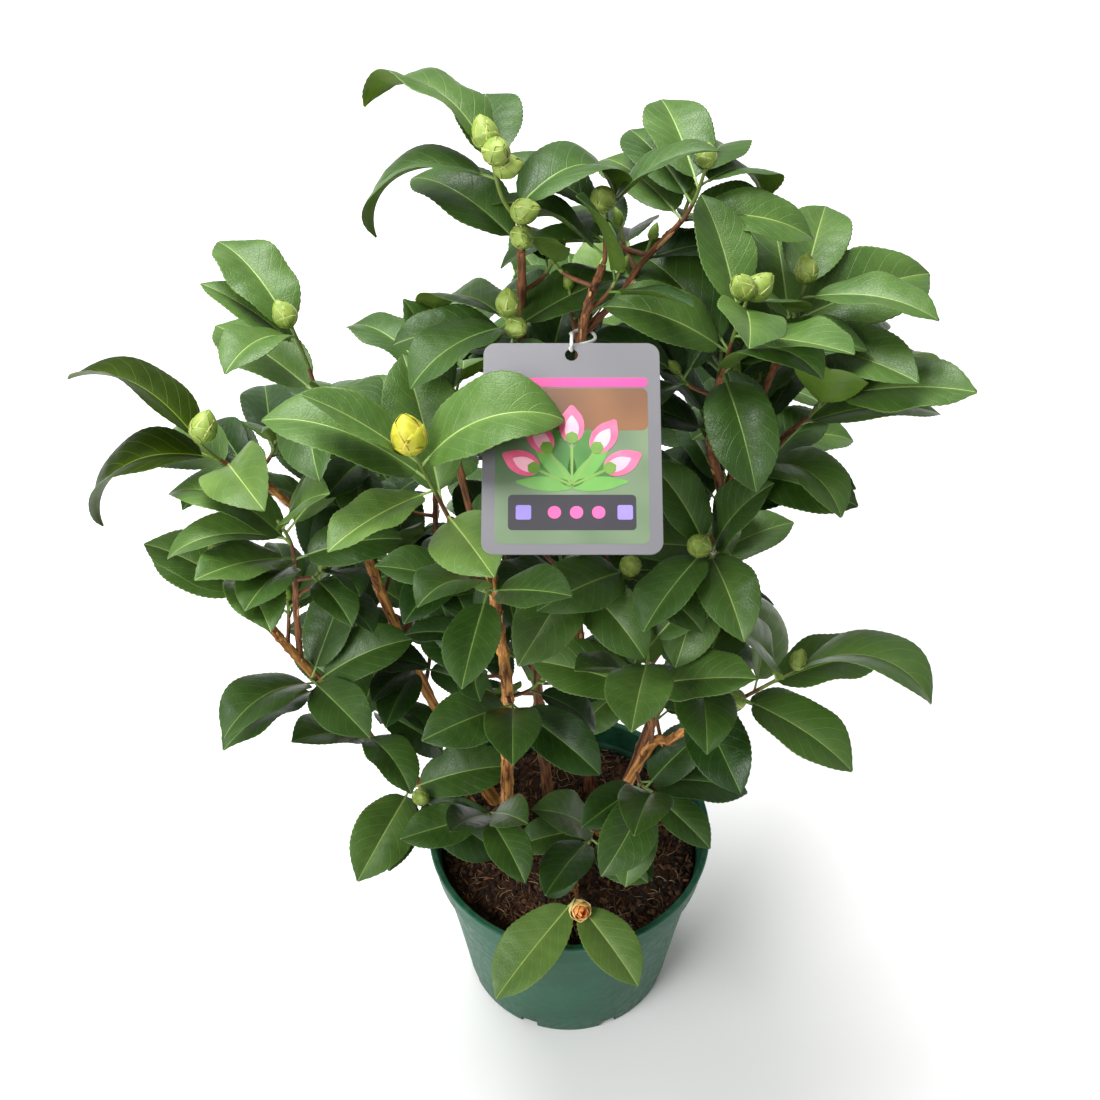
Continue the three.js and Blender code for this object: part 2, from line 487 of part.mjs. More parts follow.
// The room over the label's face, where drawn leaves don't grow
function tagViewSolid() {
  const room = new THREE.BoxGeometry(TAG_WIDTH, TAG_LENGTH, 60);
  room.translate(0, -TAG_LENGTH / 2, 30);
  room.rotateX(radians(TAG_SLOPE));
  room.translate(...TAG_TOP);
  return solidOfGeometry(room);
}

// Every solid that leaves must keep clear of, with its owner and the box round it
const obstacles = [];

function boxOf(shape) {
  const { min, max } = shape.boundingBox();
  return { min, max };
}

function addObstacle(shape, owner, kind) {
  obstacles.push({ shape, owner, kind, box: boxOf(shape) });
}

function meets(shape, counts) {
  const box = boxOf(shape);
  return obstacles.some((other) => {
    if (!counts(other)) return false;
    for (let k = 0; k < 3; k++) {
      if (box.min[k] > other.box.max[k] || box.max[k] < other.box.min[k]) return false;
    }
    return !shape.intersect(other.shape).isEmpty();
  });
}

const curves = {};
const fatLimbs = {};
const parts = [];

function keep(name, shape, colour, roughness, foot = [0, 0, 0]) {
  const bodies = shape.decompose();
  const largest = bodies.reduce((most, body) => (body.volume() > most.volume() ? body : most));
  parts.push({ name, shape: largest, colour, roughness, foot });
}

function ringsFor(points) {
  return Math.max(3, Math.round((points.length - 1) * 1.5));
}

// A root's place on the straight runs between a twig's rings
function rootOn(points, share) {
  const rings = ringsFor(points);
  const run = Math.min(Math.floor(share * rings), rings - 1);
  const low = along(points, run / rings).at;
  return low.lerp(along(points, (run + 1) / rings).at, share * rings - run);
}

// Stems are cut level just above the potting mix, boughs just short of their stem
function growLimbs() {
  const ground = new THREE.BoxGeometry(4 * POT_RIM_RADIUS, 4 * POT_RIM_RADIUS, 60);
  ground.translate(0, 0, MIX_TOP + GAP - 30);
  const below = solidOfGeometry(ground);
  for (const row of LIMBS) {
    const points = row.through.map(vector);
    if (row.from) points.unshift(along(curves[row.from[0]], row.from[1]).at);
    curves[row.name] = points;
    const sides = row.from ? BOUGH_SIDES : STEM_SIDES;
    const rings = ringsFor(points) + 1;
    const flare = row.from ? 0 : FOOT_FLARE;
    let shape = limb(points, row.radius, row.end, sides, rings, 0, flare);
    shape = shape.subtract(row.from ? fatLimbs[row.from[0]] : below);
    fatLimbs[row.name] = limb(points, row.radius, row.end, sides, rings, GAP + 0.1, flare);
    addObstacle(shape, row.name, "limb");
    keep(row.name, shape, row.from ? 0x7d5a38 : 0x9a6c42, 0.9, points[0].toArray());
  }
}

// The candidates for one leaf of a twig, all drawn before any is judged
function leafChoices(draw, points, share, turn, size) {
  const at = rootOn(points, share);
  const way = along(points, share).way;
  const choices = [];
  for (let k = 0; k < LEAF_TRIES; k++) {
    const radial = acrossOf(way, turn + draw(-18, 18));
    const spread = radians(draw(42, 66) * (1.15 - 0.4 * share));
    const out = way.clone().multiplyScalar(Math.cos(spread)).addScaledVector(radial, Math.sin(spread));
    out.z *= 0.75;
    out.normalize();
    choices.push({
      at, out, lean: UP.clone().addScaledVector(radial, -0.3),
      length: size * draw(60, 80), droop: draw(12, 64), roll: draw(-22, 22),
    });
  }
  return choices;
}

function growTwig(row) {
  const [base, share] = row.from;
  const start = along(curves[base], share);
  const points = share === 1
    ? [start.at.clone().addScaledVector(start.way, GAP), start.at.clone().addScaledVector(start.way, 4)]
    : [start.at.clone()];
  points.push(...row.through.map(vector));
  let shape = limb(points, TWIG_RADIUS, TWIG_END_RADIUS, TWIG_SIDES, ringsFor(points));
  if (share < 1) shape = shape.subtract(fatLimbs[base]);
  addObstacle(shape, row.name, "twig");
  return { row, points, shape };
}

// A leaf joins its shoot when it touches nothing but the twig it grows from
function takeLeaf(shoot, leaf) {
  const owner = shoot.row.name;
  const test = leafSolid(leaf, LEAF_CLEARANCE, true);
  const whole = leafSolid(leaf, 0, true);
  if (meets(test, (other) => other.owner !== owner || other.kind === "blade")) return false;
  if (meets(whole, (other) => other.owner !== owner)) return false;
  if (meets(leafSolid(leaf, 0, false), (other) => other.owner === owner && other.kind === "twig")) return false;
  addObstacle(whole, owner, "blade");
  shoot.shape = shoot.shape.add(whole);
  return true;
}

function takeBud(shoot, at, out, length, radius) {
  const owner = shoot.row.name;
  const test = budSolid(at.clone().addScaledVector(out, 3), out, length - 3, radius, LEAF_CLEARANCE);
  if (meets(test, (other) => other.owner !== owner || other.kind === "blade")) return false;
  const bud = budSolid(at, out, length, radius);
  if (meets(bud, (other) => other.owner !== owner)) return false;
  addObstacle(bud, owner, "blade");
  shoot.shape = shoot.shape.add(bud);
  return true;
}

function growPosed(shoot) {
  for (const [share, bearing, rise, length, droop, roll] of shoot.row.posed ?? []) {
    const at = rootOn(shoot.points, share);
    POSED_SHIFTS.some(([turn, lift]) => takeLeaf(shoot, {
      at, out: headingOf(bearing + turn, rise + lift), lean: UP, length, droop, roll,
    }));
  }
}

function growBuds(shoot) {
  for (const [share, bearing, rise, size] of shoot.row.buds ?? []) {
    const at = rootOn(shoot.points, share);
    takeBud(shoot, at, headingOf(bearing, rise), BUD_LENGTH * size, BUD_RADIUS * size);
  }
}

function growLeaves(shoot) {
  const { row, points } = shoot;
  const draw = seeded(row.seed);
  const count = row.count - (row.posed ?? []).length;
  for (let k = 0; k < count; k++) {
    const share = row.first + (0.96 - row.first) * (k + 0.5) / count;
    const choices = leafChoices(draw, points, share, row.turn + GOLDEN_ANGLE * k, row.size);
    const shed = (row.bare ?? []).includes(k);
    if (!shed) choices.some((leaf) => takeLeaf(shoot, leaf));
  }
  for (let s = 0; s < row.sprays; s++) growSpray(shoot, draw, s);
}

// A side spray: a short twig with a leaf bud at its end and four leaves
function growSpray(shoot, draw, s) {
  const { row, points } = shoot;
  const owner = row.name;
  const share = 0.5 + 0.4 * s / row.sprays;
  const foot = { at: rootOn(points, share), way: along(points, share).way };
  const radial = acrossOf(foot.way, row.turn + 60 + GOLDEN_ANGLE * s);
  const out = foot.way.clone().multiplyScalar(0.7).addScaledVector(radial, 0.7)
    .addScaledVector(UP, 0.15).normalize();
  const length = draw(34, 50);
  const rise = out.clone().addScaledVector(UP, 0.35).normalize();
  const side = [foot.at, foot.at.clone().addScaledVector(out, length / 2),
    foot.at.clone().addScaledVector(rise, length)];
  const leaves = [];
  for (let k = 0; k < 4; k++) {
    const turn = row.turn + GOLDEN_ANGLE * k;
    leaves.push(leafChoices(draw, side, 0.45 + 0.5 * k / 3, turn, row.size * 0.9));
  }
  const reach = side.map((point) => point.clone());
  reach[0] = side[0].clone().addScaledVector(out, 4);
  const test = limb(reach, TWIG_RADIUS + 0.6, TWIG_END_RADIUS + 0.6, 5, 3);
  if (meets(test, (other) => other.owner !== owner || other.kind === "blade")) return;
  if (!takeBud(shoot, side[2], rise, BUD_LENGTH * 0.6, BUD_RADIUS * 0.4)) return;
  const twig = limb(side, TWIG_RADIUS - 0.2, TWIG_END_RADIUS, TWIG_SIDES, 3);
  shoot.shape = shoot.shape.add(twig);
  addObstacle(twig, owner, "twig");
  for (const choices of leaves) choices.some((leaf) => takeLeaf(shoot, leaf));
}

const pot = potSolid();
const mix = mixSolid();
const tag = tagSolid();
addObstacle(pot, "pot", "limb");
addObstacle(mix, "potting_mix", "limb");
addObstacle(tag, "hang_tag", "limb");
keep("pot", pot, 0x4f7560, 0.55);
keep("potting_mix", mix, 0x2f221b, 1);
growLimbs();
keep("hang_tag", tag, 0x9f9fa6, 0.4, TAG_TOP);
const shoots = SHOOTS.map(growTwig);
shoots.forEach(growPosed);
shoots.forEach(growBuds);
addObstacle(tagViewSolid(), "hang_tag", "limb");
shoots.forEach(growLeaves);
for (const { row, shape, points } of shoots) keep(row.name, shape, 0x35592c, 0.45, points[0].toArray());

const group = new THREE.Group();
group.name = "camellia_shrub";
for (const part of parts) {
  const mesh = part.shape.getMesh();
  const geometry = new THREE.BufferGeometry();
  const positions = new Float32Array(mesh.numVert * 3);
  for (let k = 0; k < mesh.numVert; k++) {
    for (let axis = 0; axis < 3; axis++) {
      positions[3 * k + axis] = mesh.vertProperties[mesh.numProp * k + axis] - part.foot[axis];
    }
  }
  geometry.setAttribute("position", new THREE.BufferAttribute(positions, 3));
  geometry.setIndex(new THREE.BufferAttribute(new Uint32Array(mesh.triVerts), 1));
  geometry.computeVertexNormals();
  const material = new THREE.MeshStandardMaterial({
    color: part.colour, roughness: part.roughness, metalness: 0, flatShading: true,
  });
  const piece = new THREE.Mesh(geometry, material);
  piece.name = part.name;
  piece.position.set(...part.foot);
  group.add(piece);
}

export default group;
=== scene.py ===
import math
import bpy
import numpy as np
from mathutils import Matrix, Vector, noise


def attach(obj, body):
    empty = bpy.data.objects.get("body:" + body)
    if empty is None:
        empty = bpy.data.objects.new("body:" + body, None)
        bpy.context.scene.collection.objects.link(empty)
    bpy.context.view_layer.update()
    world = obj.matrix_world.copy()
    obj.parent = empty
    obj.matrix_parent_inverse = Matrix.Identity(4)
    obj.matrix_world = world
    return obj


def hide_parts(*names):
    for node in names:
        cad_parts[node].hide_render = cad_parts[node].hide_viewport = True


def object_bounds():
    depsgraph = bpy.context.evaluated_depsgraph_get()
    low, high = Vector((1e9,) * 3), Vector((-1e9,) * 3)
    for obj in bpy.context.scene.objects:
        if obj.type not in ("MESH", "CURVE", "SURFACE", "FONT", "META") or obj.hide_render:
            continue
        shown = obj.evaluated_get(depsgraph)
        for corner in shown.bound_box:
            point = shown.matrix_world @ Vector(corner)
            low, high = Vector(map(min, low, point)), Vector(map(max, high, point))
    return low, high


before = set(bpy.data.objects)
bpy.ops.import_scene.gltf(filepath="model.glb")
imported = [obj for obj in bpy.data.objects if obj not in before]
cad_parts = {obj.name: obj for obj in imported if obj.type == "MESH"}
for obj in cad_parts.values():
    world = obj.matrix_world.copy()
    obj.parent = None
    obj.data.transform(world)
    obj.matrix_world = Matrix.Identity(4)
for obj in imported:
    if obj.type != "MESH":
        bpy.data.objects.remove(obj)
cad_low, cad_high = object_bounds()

# Sizes are in millimetres, and meshes are written in metres
METRE = 0.001
UP = np.array([0.0, 0.0, 1.0])

# The growth rule's sizes, the same as in the solids
TWIG_RADIUS = 1.35
TWIG_END_RADIUS = 0.9
GOLDEN_ANGLE = 137.5
PETIOLE = 8
PETIOLE_RADIUS = 0.75
SOLID_BLADE_STEPS = 12
BLADE_HALF_WIDTH = 0.27
BLADE_FOLD = 16
LAST_LEAF = 0.96
LEAF_TRIES = 8
POSED_SHIFTS = [(0, 0), (0, 8), (0, -8), (8, 0), (-8, 0), (8, 8), (-8, 8), (14, 0), (-14, 0), (0, 15),
                (0, -15), (16, 12), (-16, 12)]
BUD_LENGTH = 19
BUD_RADIUS = 6.4
SAME_PLACE = 0.2

# The ranges of its draws: how far a leaf strays from its turn round the twig, its angle from the twig,
# its length, droop and roll, and the length of a side spray
LEAF_STRAY = (-18, 18)
LEAF_SPREAD = (42, 66)
LEAF_LENGTH = (60, 80)
LEAF_DROOP = (12, 64)
LEAF_ROLL = (-22, 22)
SPRAY_LENGTH = (34, 50)
SPRAY_LEAVES = 4

# Camera: where it stands in metres, its downward pitch in degrees and its lens in millimetres
CAMERA_PLACE = (-0.013, -0.711, 1.196)
CAMERA_PITCH = 47.3
CAMERA_LENS = 60.5


# Growth rule
def unit(way):
    return way / np.linalg.norm(way)


def along(points, share):
    """The place and heading at a share of the way on a smooth curve through the points."""
    spans = len(points) - 1
    reach = min(max(share, 0), 1) * spans
    span = min(int(reach), spans - 1)
    f = reach - span
    b = points[span]
    c = points[span + 1]
    a = points[span - 1] if span > 0 else 2 * b - c
    d = points[span + 2] if span + 2 <= spans else 2 * c - b
    at = (a * (-f + 2 * f * f - f ** 3) + b * (2 - 5 * f * f + 3 * f ** 3)
          + c * (f + 4 * f * f - 3 * f ** 3) + d * (-f * f + f ** 3)) / 2
    way = (a * (-1 + 4 * f - 3 * f * f) + b * (-10 * f + 9 * f * f)
           + c * (1 + 8 * f - 9 * f * f) + d * (-2 * f + 3 * f * f)) / 2
    return at, unit(way)


def root_on(points, share):
    """A root's place on the straight runs between a twig's rings."""
    rings = max(3, int((len(points) - 1) * 1.5 + 0.5))
    run = min(int(share * rings), rings - 1)
    low = along(points, run / rings)[0]
    high = along(points, (run + 1) / rings)[0]
    return low + (high - low) * (share * rings - run)


def seeded(seed):
    """The seeded draw that every shoot grows by."""
    state = seed * 7919

    def draw(low, high):
        nonlocal state
        state = state * 48271 % 2147483647
        return low + (high - low) * state / 2147483647

    return draw


def heading_of(bearing, rise):
    b = math.radians(bearing)
    r = math.radians(rise)
    return np.array([math.cos(r) * math.cos(b), math.cos(r) * math.sin(b), math.sin(r)])


def across_of(way, turn):
    if abs(way[2]) >= 0.98:
        e = np.cross(way, [0, 1, 0])
    else:
        e = unit(np.cross(way, UP))
    f = np.cross(way, e)
    return e * math.cos(math.radians(turn)) + f * math.sin(math.radians(turn))


def midrib(leaf, steps):
    """The blade's side way, then the places and normals of its midrib from the stalk to the tip."""
    out = leaf["out"]
    normal = unit(leaf["lean"] - out * np.dot(out, leaf["lean"]))
    roll = math.radians(leaf["roll"])
    normal = normal * math.cos(roll) + np.cross(out, normal) * math.sin(roll)
    side = np.cross(out, normal)
    droop = math.radians(leaf["droop"])
    step = leaf["length"] / steps
    bend = droop * ((np.arange(1, steps + 1) - 0.5) / steps) ** 1.5
    forward = np.concatenate([[0], np.cumsum(np.cos(bend)) * step])
    down = np.concatenate([[0], np.cumsum(np.sin(bend)) * step])
    places = leaf["at"] + out * PETIOLE + forward[:, None] * out - down[:, None] * normal
    turn = droop * (np.arange(steps + 1) / steps) ** 1.5
    normals = normal * np.cos(turn)[:, None] + out * np.sin(turn)[:, None]
    return side, places, normals


# Stems and boughs, each with its radius at the foot and at the end and the points it grows through
def stem(name, radius, end, *through):
    return {"name": name, "base": None, "radius": radius, "end": end, "through": through}


def bough(name, limb, share, radius, end, *through):
    """A bough leaves its limb at a share of the limb's way."""
    return {"name": name, "base": (limb, share), "radius": radius, "end": end, "through": through}


LIMBS = [
    stem("stem_front_left", 4.2, 2.1, (-44, -5, 126), (-40, -22, 240), (-38, -38, 346), (-42, -50, 423),
         (-46, -60, 479), (-62, -80, 534)),
    stem("stem_left", 3.8, 1.9, (-62, 24, 126), (-92, 14, 172), (-112, 8, 205), (-136, -15, 292),
         (-157, -35, 370), (-170, -44, 412), (-176, -48, 437)),
    stem("stem_mid_left", 3.6, 1.8, (-50, 34, 126), (-76, 26, 210), (-98, 12, 310), (-112, 8, 378),
         (-120, 5, 418), (-143, 0, 445), (-169, -8, 490), (-181, -10, 501)),
    stem("stem_centre", 3.8, 2, (-12, 14, 126), (-22, 18, 300), (-27, 14, 480), (-27, 8, 632)),
    stem("stem_back", 3.6, 1.8, (16, 44, 126), (6, 30, 300), (-2, 6, 460), (3, -10, 594), (13, 10, 622)),
    stem("stem_right", 3.8, 1.9, (34, 30, 126), (58, 24, 260), (76, 15, 380), (83, 10, 452), (74, 6, 501),
         (73, 0, 541), (75, -5, 563)),
    stem("stem_low_right", 3.4, 1.8, (21, 8, 126), (33, -4, 190), (49, -35, 289), (59, -40, 300),
         (75, -45, 326), (94, -50, 350)),
    stem("stem_low_front", 2, 1.5, (3, -36, 126), (3, -50, 158), (4, -62, 166)),
    bough("bough_inner_left", "stem_front_left", 0.8, 1.9, 1.5, (-56, -40, 506), (-64, -12, 531)),
    bough("bough_left_upper", "stem_left", 0.665, 1.9, 1.5, (-154, -40, 418), (-152, -42, 440),
          (-150, -44, 461)),
    bough("bough_left_top", "stem_mid_left", 0.575, 2, 1.5, (-123, 5, 469), (-128, 5, 507), (-134, 3, 541)),
    bough("bough_top_right", "stem_back", 0.75, 1.8, 1.4, (22, 6, 606), (32, 22, 612), (52, 38, 626)),
    bough("bough_right_back", "stem_right", 0.52, 2, 1.6, (93, 15, 490), (102, 22, 528), (110, 26, 556)),
    bough("bough_right", "stem_right", 0.48, 2, 1.6, (100, 9, 475), (110, 9, 500), (118, 8, 513)),
    bough("bough_low_right_upper", "stem_low_right", 0.4, 1.8, 1.4, (46, -50, 335), (43, -62, 375)),
    bough("bough_back_left", "stem_mid_left", 0.33, 2, 1.5, (-86, 56, 350), (-82, 88, 410)),
    bough("bough_back", "stem_back", 0.36, 2, 1.5, (6, 72, 360), (4, 104, 430)),
    bough("bough_back_right", "stem_right", 0.33, 2, 1.5, (88, 62, 360), (98, 92, 405)),
    bough("bough_back_low_left", "stem_centre", 0.3, 1.8, 1.4, (-30, 62, 262), (-38, 90, 282)),
    bough("bough_back_low_right", "stem_right", 0.14, 1.8, 1.4, (62, 62, 226), (72, 92, 256)),
]


def shoot(name, limb, share, through, count, first, turn, size, seed, sprays=0, bare=(), buds=(), posed=()):
    """A leafy shoot: the limb and the share of its way where it begins, and the points it grows through.

    Then come its leaf count, where the leaves begin, the turn of the first leaf, the leaf size and the
    seed, and where it has them its side sprays, the drawn leaves left off, its flower buds as (share,
    bearing, rise, size) and its posed leaves as (share, bearing, rise, length, droop, roll)."""
    return {"name": name, "base": (limb, share), "through": through, "count": count, "first": first,
            "turn": turn, "size": size, "seed": seed, "sprays": sprays, "bare": bare, "buds": buds,
            "posed": posed}


SHOOTS = [
    shoot("leaves_top_left", "stem_centre", 1, [(-28, 6, 650), (-36, 5, 667), (-41, 8, 691)], 8, 0.25, 20,
          1, 65, bare=[0, 1], buds=[(1, 120, 55, 0.9), (1, 70, 20, 0.8), (0.98, 300, 40, 0.9),
          (0.9, 350, 20, 0.8), (0.6, 340, 25, 0.85), (0.4, 280, 20, 0.8)],
          posed=[(0.95, 126, 33, 82, 106, 32), (0.9, 95, 8, 60, 30, 0), (0.85, 170, 15, 76, 128, 20),
          (0.2, 139, 22, 68, 50, 0), (0.6, 43, 23, 76, 118, -8)]),
    shoot("leaves_top_right", "bough_top_right", 1, [(60, 44, 638), (64, 48, 652)], 8, 0.2, 40, 0.9, 50,
          bare=[1], buds=[(1, 80, 40, 0.7)], posed=[(0.55, 115, 10, 62, 26, 0), (0.75, 103, 7, 64, 28, 0),
          (0.9, 74, 0, 60, 36, 0), (0.8, 49, 2, 63, 80, -7), (0.35, 30, -7, 63, 48, 0),
          (0.2, 121, 6, 66, 32, 0)]),
    shoot("leaves_right_upper", "stem_right", 1, [(79, -10, 597), (83, -15, 623)], 8, 0.15, 70, 0.95, 94,
          buds=[(1, 200, 60, 0.85), (0.97, 30, 35, 0.9)], posed=[(0.5, 131, 33, 78, 58, 0),
          (0.1, 322, 61, 70, 90, -10)]),
    shoot("leaves_right_back", "bough_right_back", 1, [(114, 30, 572), (118, 32, 592)], 7, 0.2, 0, 0.95,
          19, sprays=1, buds=[(1, 90, 60, 0.85)], posed=[(0.9, 75, 19, 66, 25, 0),
          (0.6, 22, 22, 80, 40, 20), (0.1, 108, 16, 66, 30, 0)]),
    shoot("leaves_right", "bough_right", 1, [(126, 6, 526), (136, 5, 541)], 8, 0.2, 120, 1, 71, bare=[2],
          buds=[(1, 60, 50, 0.8)], posed=[(0.95, 338, 30, 70, 30, 10), (0.85, 39, 25, 72, 90, -30)]),
    shoot("leaves_right_fork", "bough_right", 0.25, [(94, 0, 486), (96, -5, 494)], 6, 0.4, 10, 0.95, 17,
          bare=[3], posed=[(0.75, 321, 48, 70, 100, -18)]),
    shoot("leaves_right_middle", "stem_right", 0.44, [(78, -14, 438), (70, -34, 464)], 9, 0.25, 50, 0.88,
          19, sprays=1, bare=[1], buds=[(1, 230, 50, 0.9)]),
    shoot("leaves_low_right", "stem_low_right", 1, [(112, -56, 375), (124, -60, 392)], 9, 0.1, 80, 1, 100,
          sprays=1, bare=[5], buds=[(0.3, 230, 40, 0.85), (1, 60, 60, 0.7)],
          posed=[(0.5, 74, 26, 88, 118, 58), (0.95, 350, 45, 86, 102, -28), (0.35, 323, 7, 69, 40, 0)]),
    shoot("leaves_low_right_inner", "stem_low_right", 0.78, [(72, -46, 352), (73, -47, 366)], 6, 0.45, 30,
          0.85, 43, buds=[(1, 100, 60, 1)], posed=[(0.8, 78, 6, 70, 22, 0), (0.4, 283, 16, 64, 50, 17)]),
    shoot("leaves_low_right_upper", "bough_low_right_upper", 1, [(41, -68, 408), (39, -70, 430)], 8, 0.15,
          15, 0.85, 96, posed=[(0.3, 200, 55, 58, 40, 25), (0.5, 95, 12, 55, 25, 0),
          (0.7, 133, 30, 70, 85, 20)]),
    shoot("leaves_left_top", "bough_left_top", 1, [(-138, 5, 562), (-144, 8, 584)], 9, 0.16, 100, 0.92,
          58, bare=[2, 3, 4], buds=[(1, 150, 60, 0.85)], posed=[(0.9, 126, 31, 67, 46, 10),
          (0.1, 139, 11, 71, 24, 0)]),
    shoot("leaves_far_left", "stem_mid_left", 1, [(-190, -14, 514), (-196, -17, 526)], 8, 0.1, 60, 1, 51,
          bare=[2, 3, 5], buds=[(1, 60, 50, 1)], posed=[(0.9, 138, 31, 84, 72, 35),
          (0.6, 182, 12, 84, 118, 16)]),
    shoot("leaves_front", "stem_front_left", 1, [(-70, -90, 570), (-76, -98, 598)], 8, 0.1, 30, 0.95, 97,
          buds=[(1, 140, 75, 1.15)], posed=[(0.7, 170, 40, 80, 60, 0), (0.85, -9, 58, 77, 103, 17)]),
    shoot("leaves_inner_left", "bough_inner_left", 1, [(-72, 8, 540), (-78, 16, 550)], 9, 0.15, 10, 0.85,
          33, bare=[4], buds=[(1, 60, 45, 0.9)], posed=[(0.9, 133, 14, 58, 54, 8),
          (0.7, 116, 21, 54, 38, 0)]),
    shoot("leaves_left_upper", "bough_left_upper", 1, [(-150, -46, 482), (-155, -46, 498)], 8, 0.1, 45,
          0.85, 11, posed=[(0.6, 155, 42, 70, 80, 15), (0.4, 223, 35, 59, 28, 0),
          (0.8, 60, 20, 62, 70, -15)]),
    shoot("leaves_left_low", "stem_left", 1, [(-182, -50, 462), (-184, -52, 474)], 8, 0.1, 0, 0.9, 75,
          bare=[1, 6], buds=[(1, 200, 70, 0.9)], posed=[(0.3, 161, 32, 56, 36, 0)]),
    shoot("leaves_left_stem", "stem_left", 0.5, [(-150, -32, 344), (-152, -38, 356)], 6, 0.4, 90, 0.85,
          62, posed=[(0.6, 224, 38, 69, 72, 12), (0.9, 73, 40, 63, 15, -10)]),
    shoot("leaves_left_low_stem", "stem_left", 0.38, [(-128, -26, 290), (-128, -34, 304)], 5, 0.4, 150,
          0.85, 100, posed=[(0.9, 68, 24, 63, 16, -10), (0.4, 224, 49, 62, 27, 0)]),
    shoot("leaves_left_foot", "stem_left", 0.3, [(-104, -12, 210), (-96, -24, 216)], 7, 0.35, 60, 0.85,
          81, buds=[(0.9, 300, 50, 0.75)], posed=[(0.5, 250, 10, 69, 30, -15)]),
    shoot("leaves_front_foot", "stem_front_left", 0.13, [(-50, -26, 204), (-54, -34, 212)], 5, 0.4, 100,
          0.8, 31, posed=[(0.7, 240, 48, 51, 24, 0)]),
    shoot("leaves_front_stem", "stem_front_left", 0.39, [(-36, -48, 346), (-34, -54, 352)], 3, 0.7, 0,
          0.8, 79, posed=[(0.9, 271, 38, 59, 46, 0)]),
    shoot("leaves_front_fork", "stem_front_left", 0.78, [(-44, -74, 474), (-46, -80, 480)], 4, 0.5, 200,
          0.8, 39, posed=[(0.7, 222, 58, 59, 72, 15)]),
    shoot("leaves_centre_top", "stem_centre", 0.84, [(-31, -4, 590), (-34, -10, 606)], 8, 0.35, 0, 0.9,
          10, buds=[(1, 85, 70, 0.8), (0.75, 300, 20, 0.75)], posed=[(0.6, 53, 7, 68, 30, -5),
          (0.8, 130, 0, 65, 90, 15)]),
    shoot("leaves_centre_back", "stem_back", 1, [(14, 24, 634), (14, 32, 642)], 8, 0.15, 75, 0.9, 5,
          buds=[(1, 250, 60, 0.85)]),
    shoot("leaves_inner_front", "stem_centre", 0.55, [(-6, -20, 430), (2, -38, 448)], 9, 0.25, 0, 0.85,
          29, sprays=1, buds=[(1, 270, 50, 0.85)]),
    shoot("leaves_inner_right", "stem_back", 0.55, [(22, -24, 434), (30, -36, 450)], 8, 0.3, 130, 0.85,
          35, sprays=1, buds=[(1, 280, 60, 0.8)]),
    shoot("leaves_low_centre", "stem_low_right", 0.12, [(16, -26, 184), (12, -42, 192)], 7, 0.35, 20,
          0.75, 47, posed=[(0.8, 241, 24, 55, 28, 0)]),
    shoot("leaves_low_front_right", "stem_low_right", 0.3, [(44, -34, 246), (52, -48, 256)], 8, 0.32, 60,
          0.8, 60, bare=[6]),
    shoot("leaves_low_front", "stem_low_front", 1, [(4, -68, 168), (4, -76, 172)], 4, 0.4, 0, 0.85, 8,
          buds=[(1, 290, 35, 0.9)], posed=[(0.6, 228, -14, 74, 14, 4), (0.8, 304, 0, 61, 20, 0)]),
    shoot("leaves_inner_low_left", "stem_mid_left", 0.24, [(-90, 44, 286), (-98, 56, 312)], 7, 0.3, 0,
          0.85, 4),
    shoot("leaves_inner_low_centre", "stem_centre", 0.3, [(-32, 36, 296), (-38, 50, 322)], 7, 0.3, 60,
          0.85, 6),
    shoot("leaves_inner_low_right", "stem_right", 0.3, [(44, 22, 282), (34, 16, 304)], 7, 0.3, 90, 0.85, 7),
    shoot("leaves_back_left", "bough_back_left", 1, [(-80, 100, 440), (-78, 112, 465)], 9, 0.1, 0, 0.95,
          78, sprays=1, buds=[(1, 120, 60, 0.9)]),
    shoot("leaves_back", "bough_back", 1, [(4, 118, 470), (4, 126, 505)], 9, 0.1, 40, 0.95, 39, sprays=1,
          buds=[(1, 80, 60, 0.9), (0.7, 200, 40, 0.85)]),
    shoot("leaves_back_right", "bough_back_right", 1, [(102, 104, 435), (108, 114, 462)], 9, 0.1, 80,
          0.95, 59, sprays=1, buds=[(1, 60, 55, 0.9)]),
    shoot("leaves_back_low_left", "bough_back_low_left", 1, [(-44, 106, 306), (-48, 116, 332)], 8, 0.1, 0,
          0.9, 19, sprays=1, buds=[(1, 120, 50, 0.85)]),
    shoot("leaves_back_low_right", "bough_back_low_right", 1, [(80, 108, 286), (84, 118, 314)], 8, 0.1,
          60, 0.9, 98, sprays=1, buds=[(1, 60, 50, 0.85)]),
]


def rows_of(points):
    return [np.array(row, dtype=float) for row in points]


def along_limb(name, share):
    return along(curves[name], share)


curves = {}
for row in LIMBS:
    curves[row["name"]] = rows_of(row["through"])
    if row["base"]:
        curves[row["name"]].insert(0, along_limb(*row["base"])[0])


def corners_of(node):
    """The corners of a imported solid, in millimetres."""
    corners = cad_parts[node].data.vertices
    flat = np.empty(3 * len(corners))
    corners.foreach_get("co", flat)
    return flat.reshape(-1, 3) / METRE


def stands_at(corners, tip):
    """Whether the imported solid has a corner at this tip, so that the leaf or bud grew there."""
    return np.min(np.sum((corners - tip) ** 2, axis=1)) < SAME_PLACE ** 2


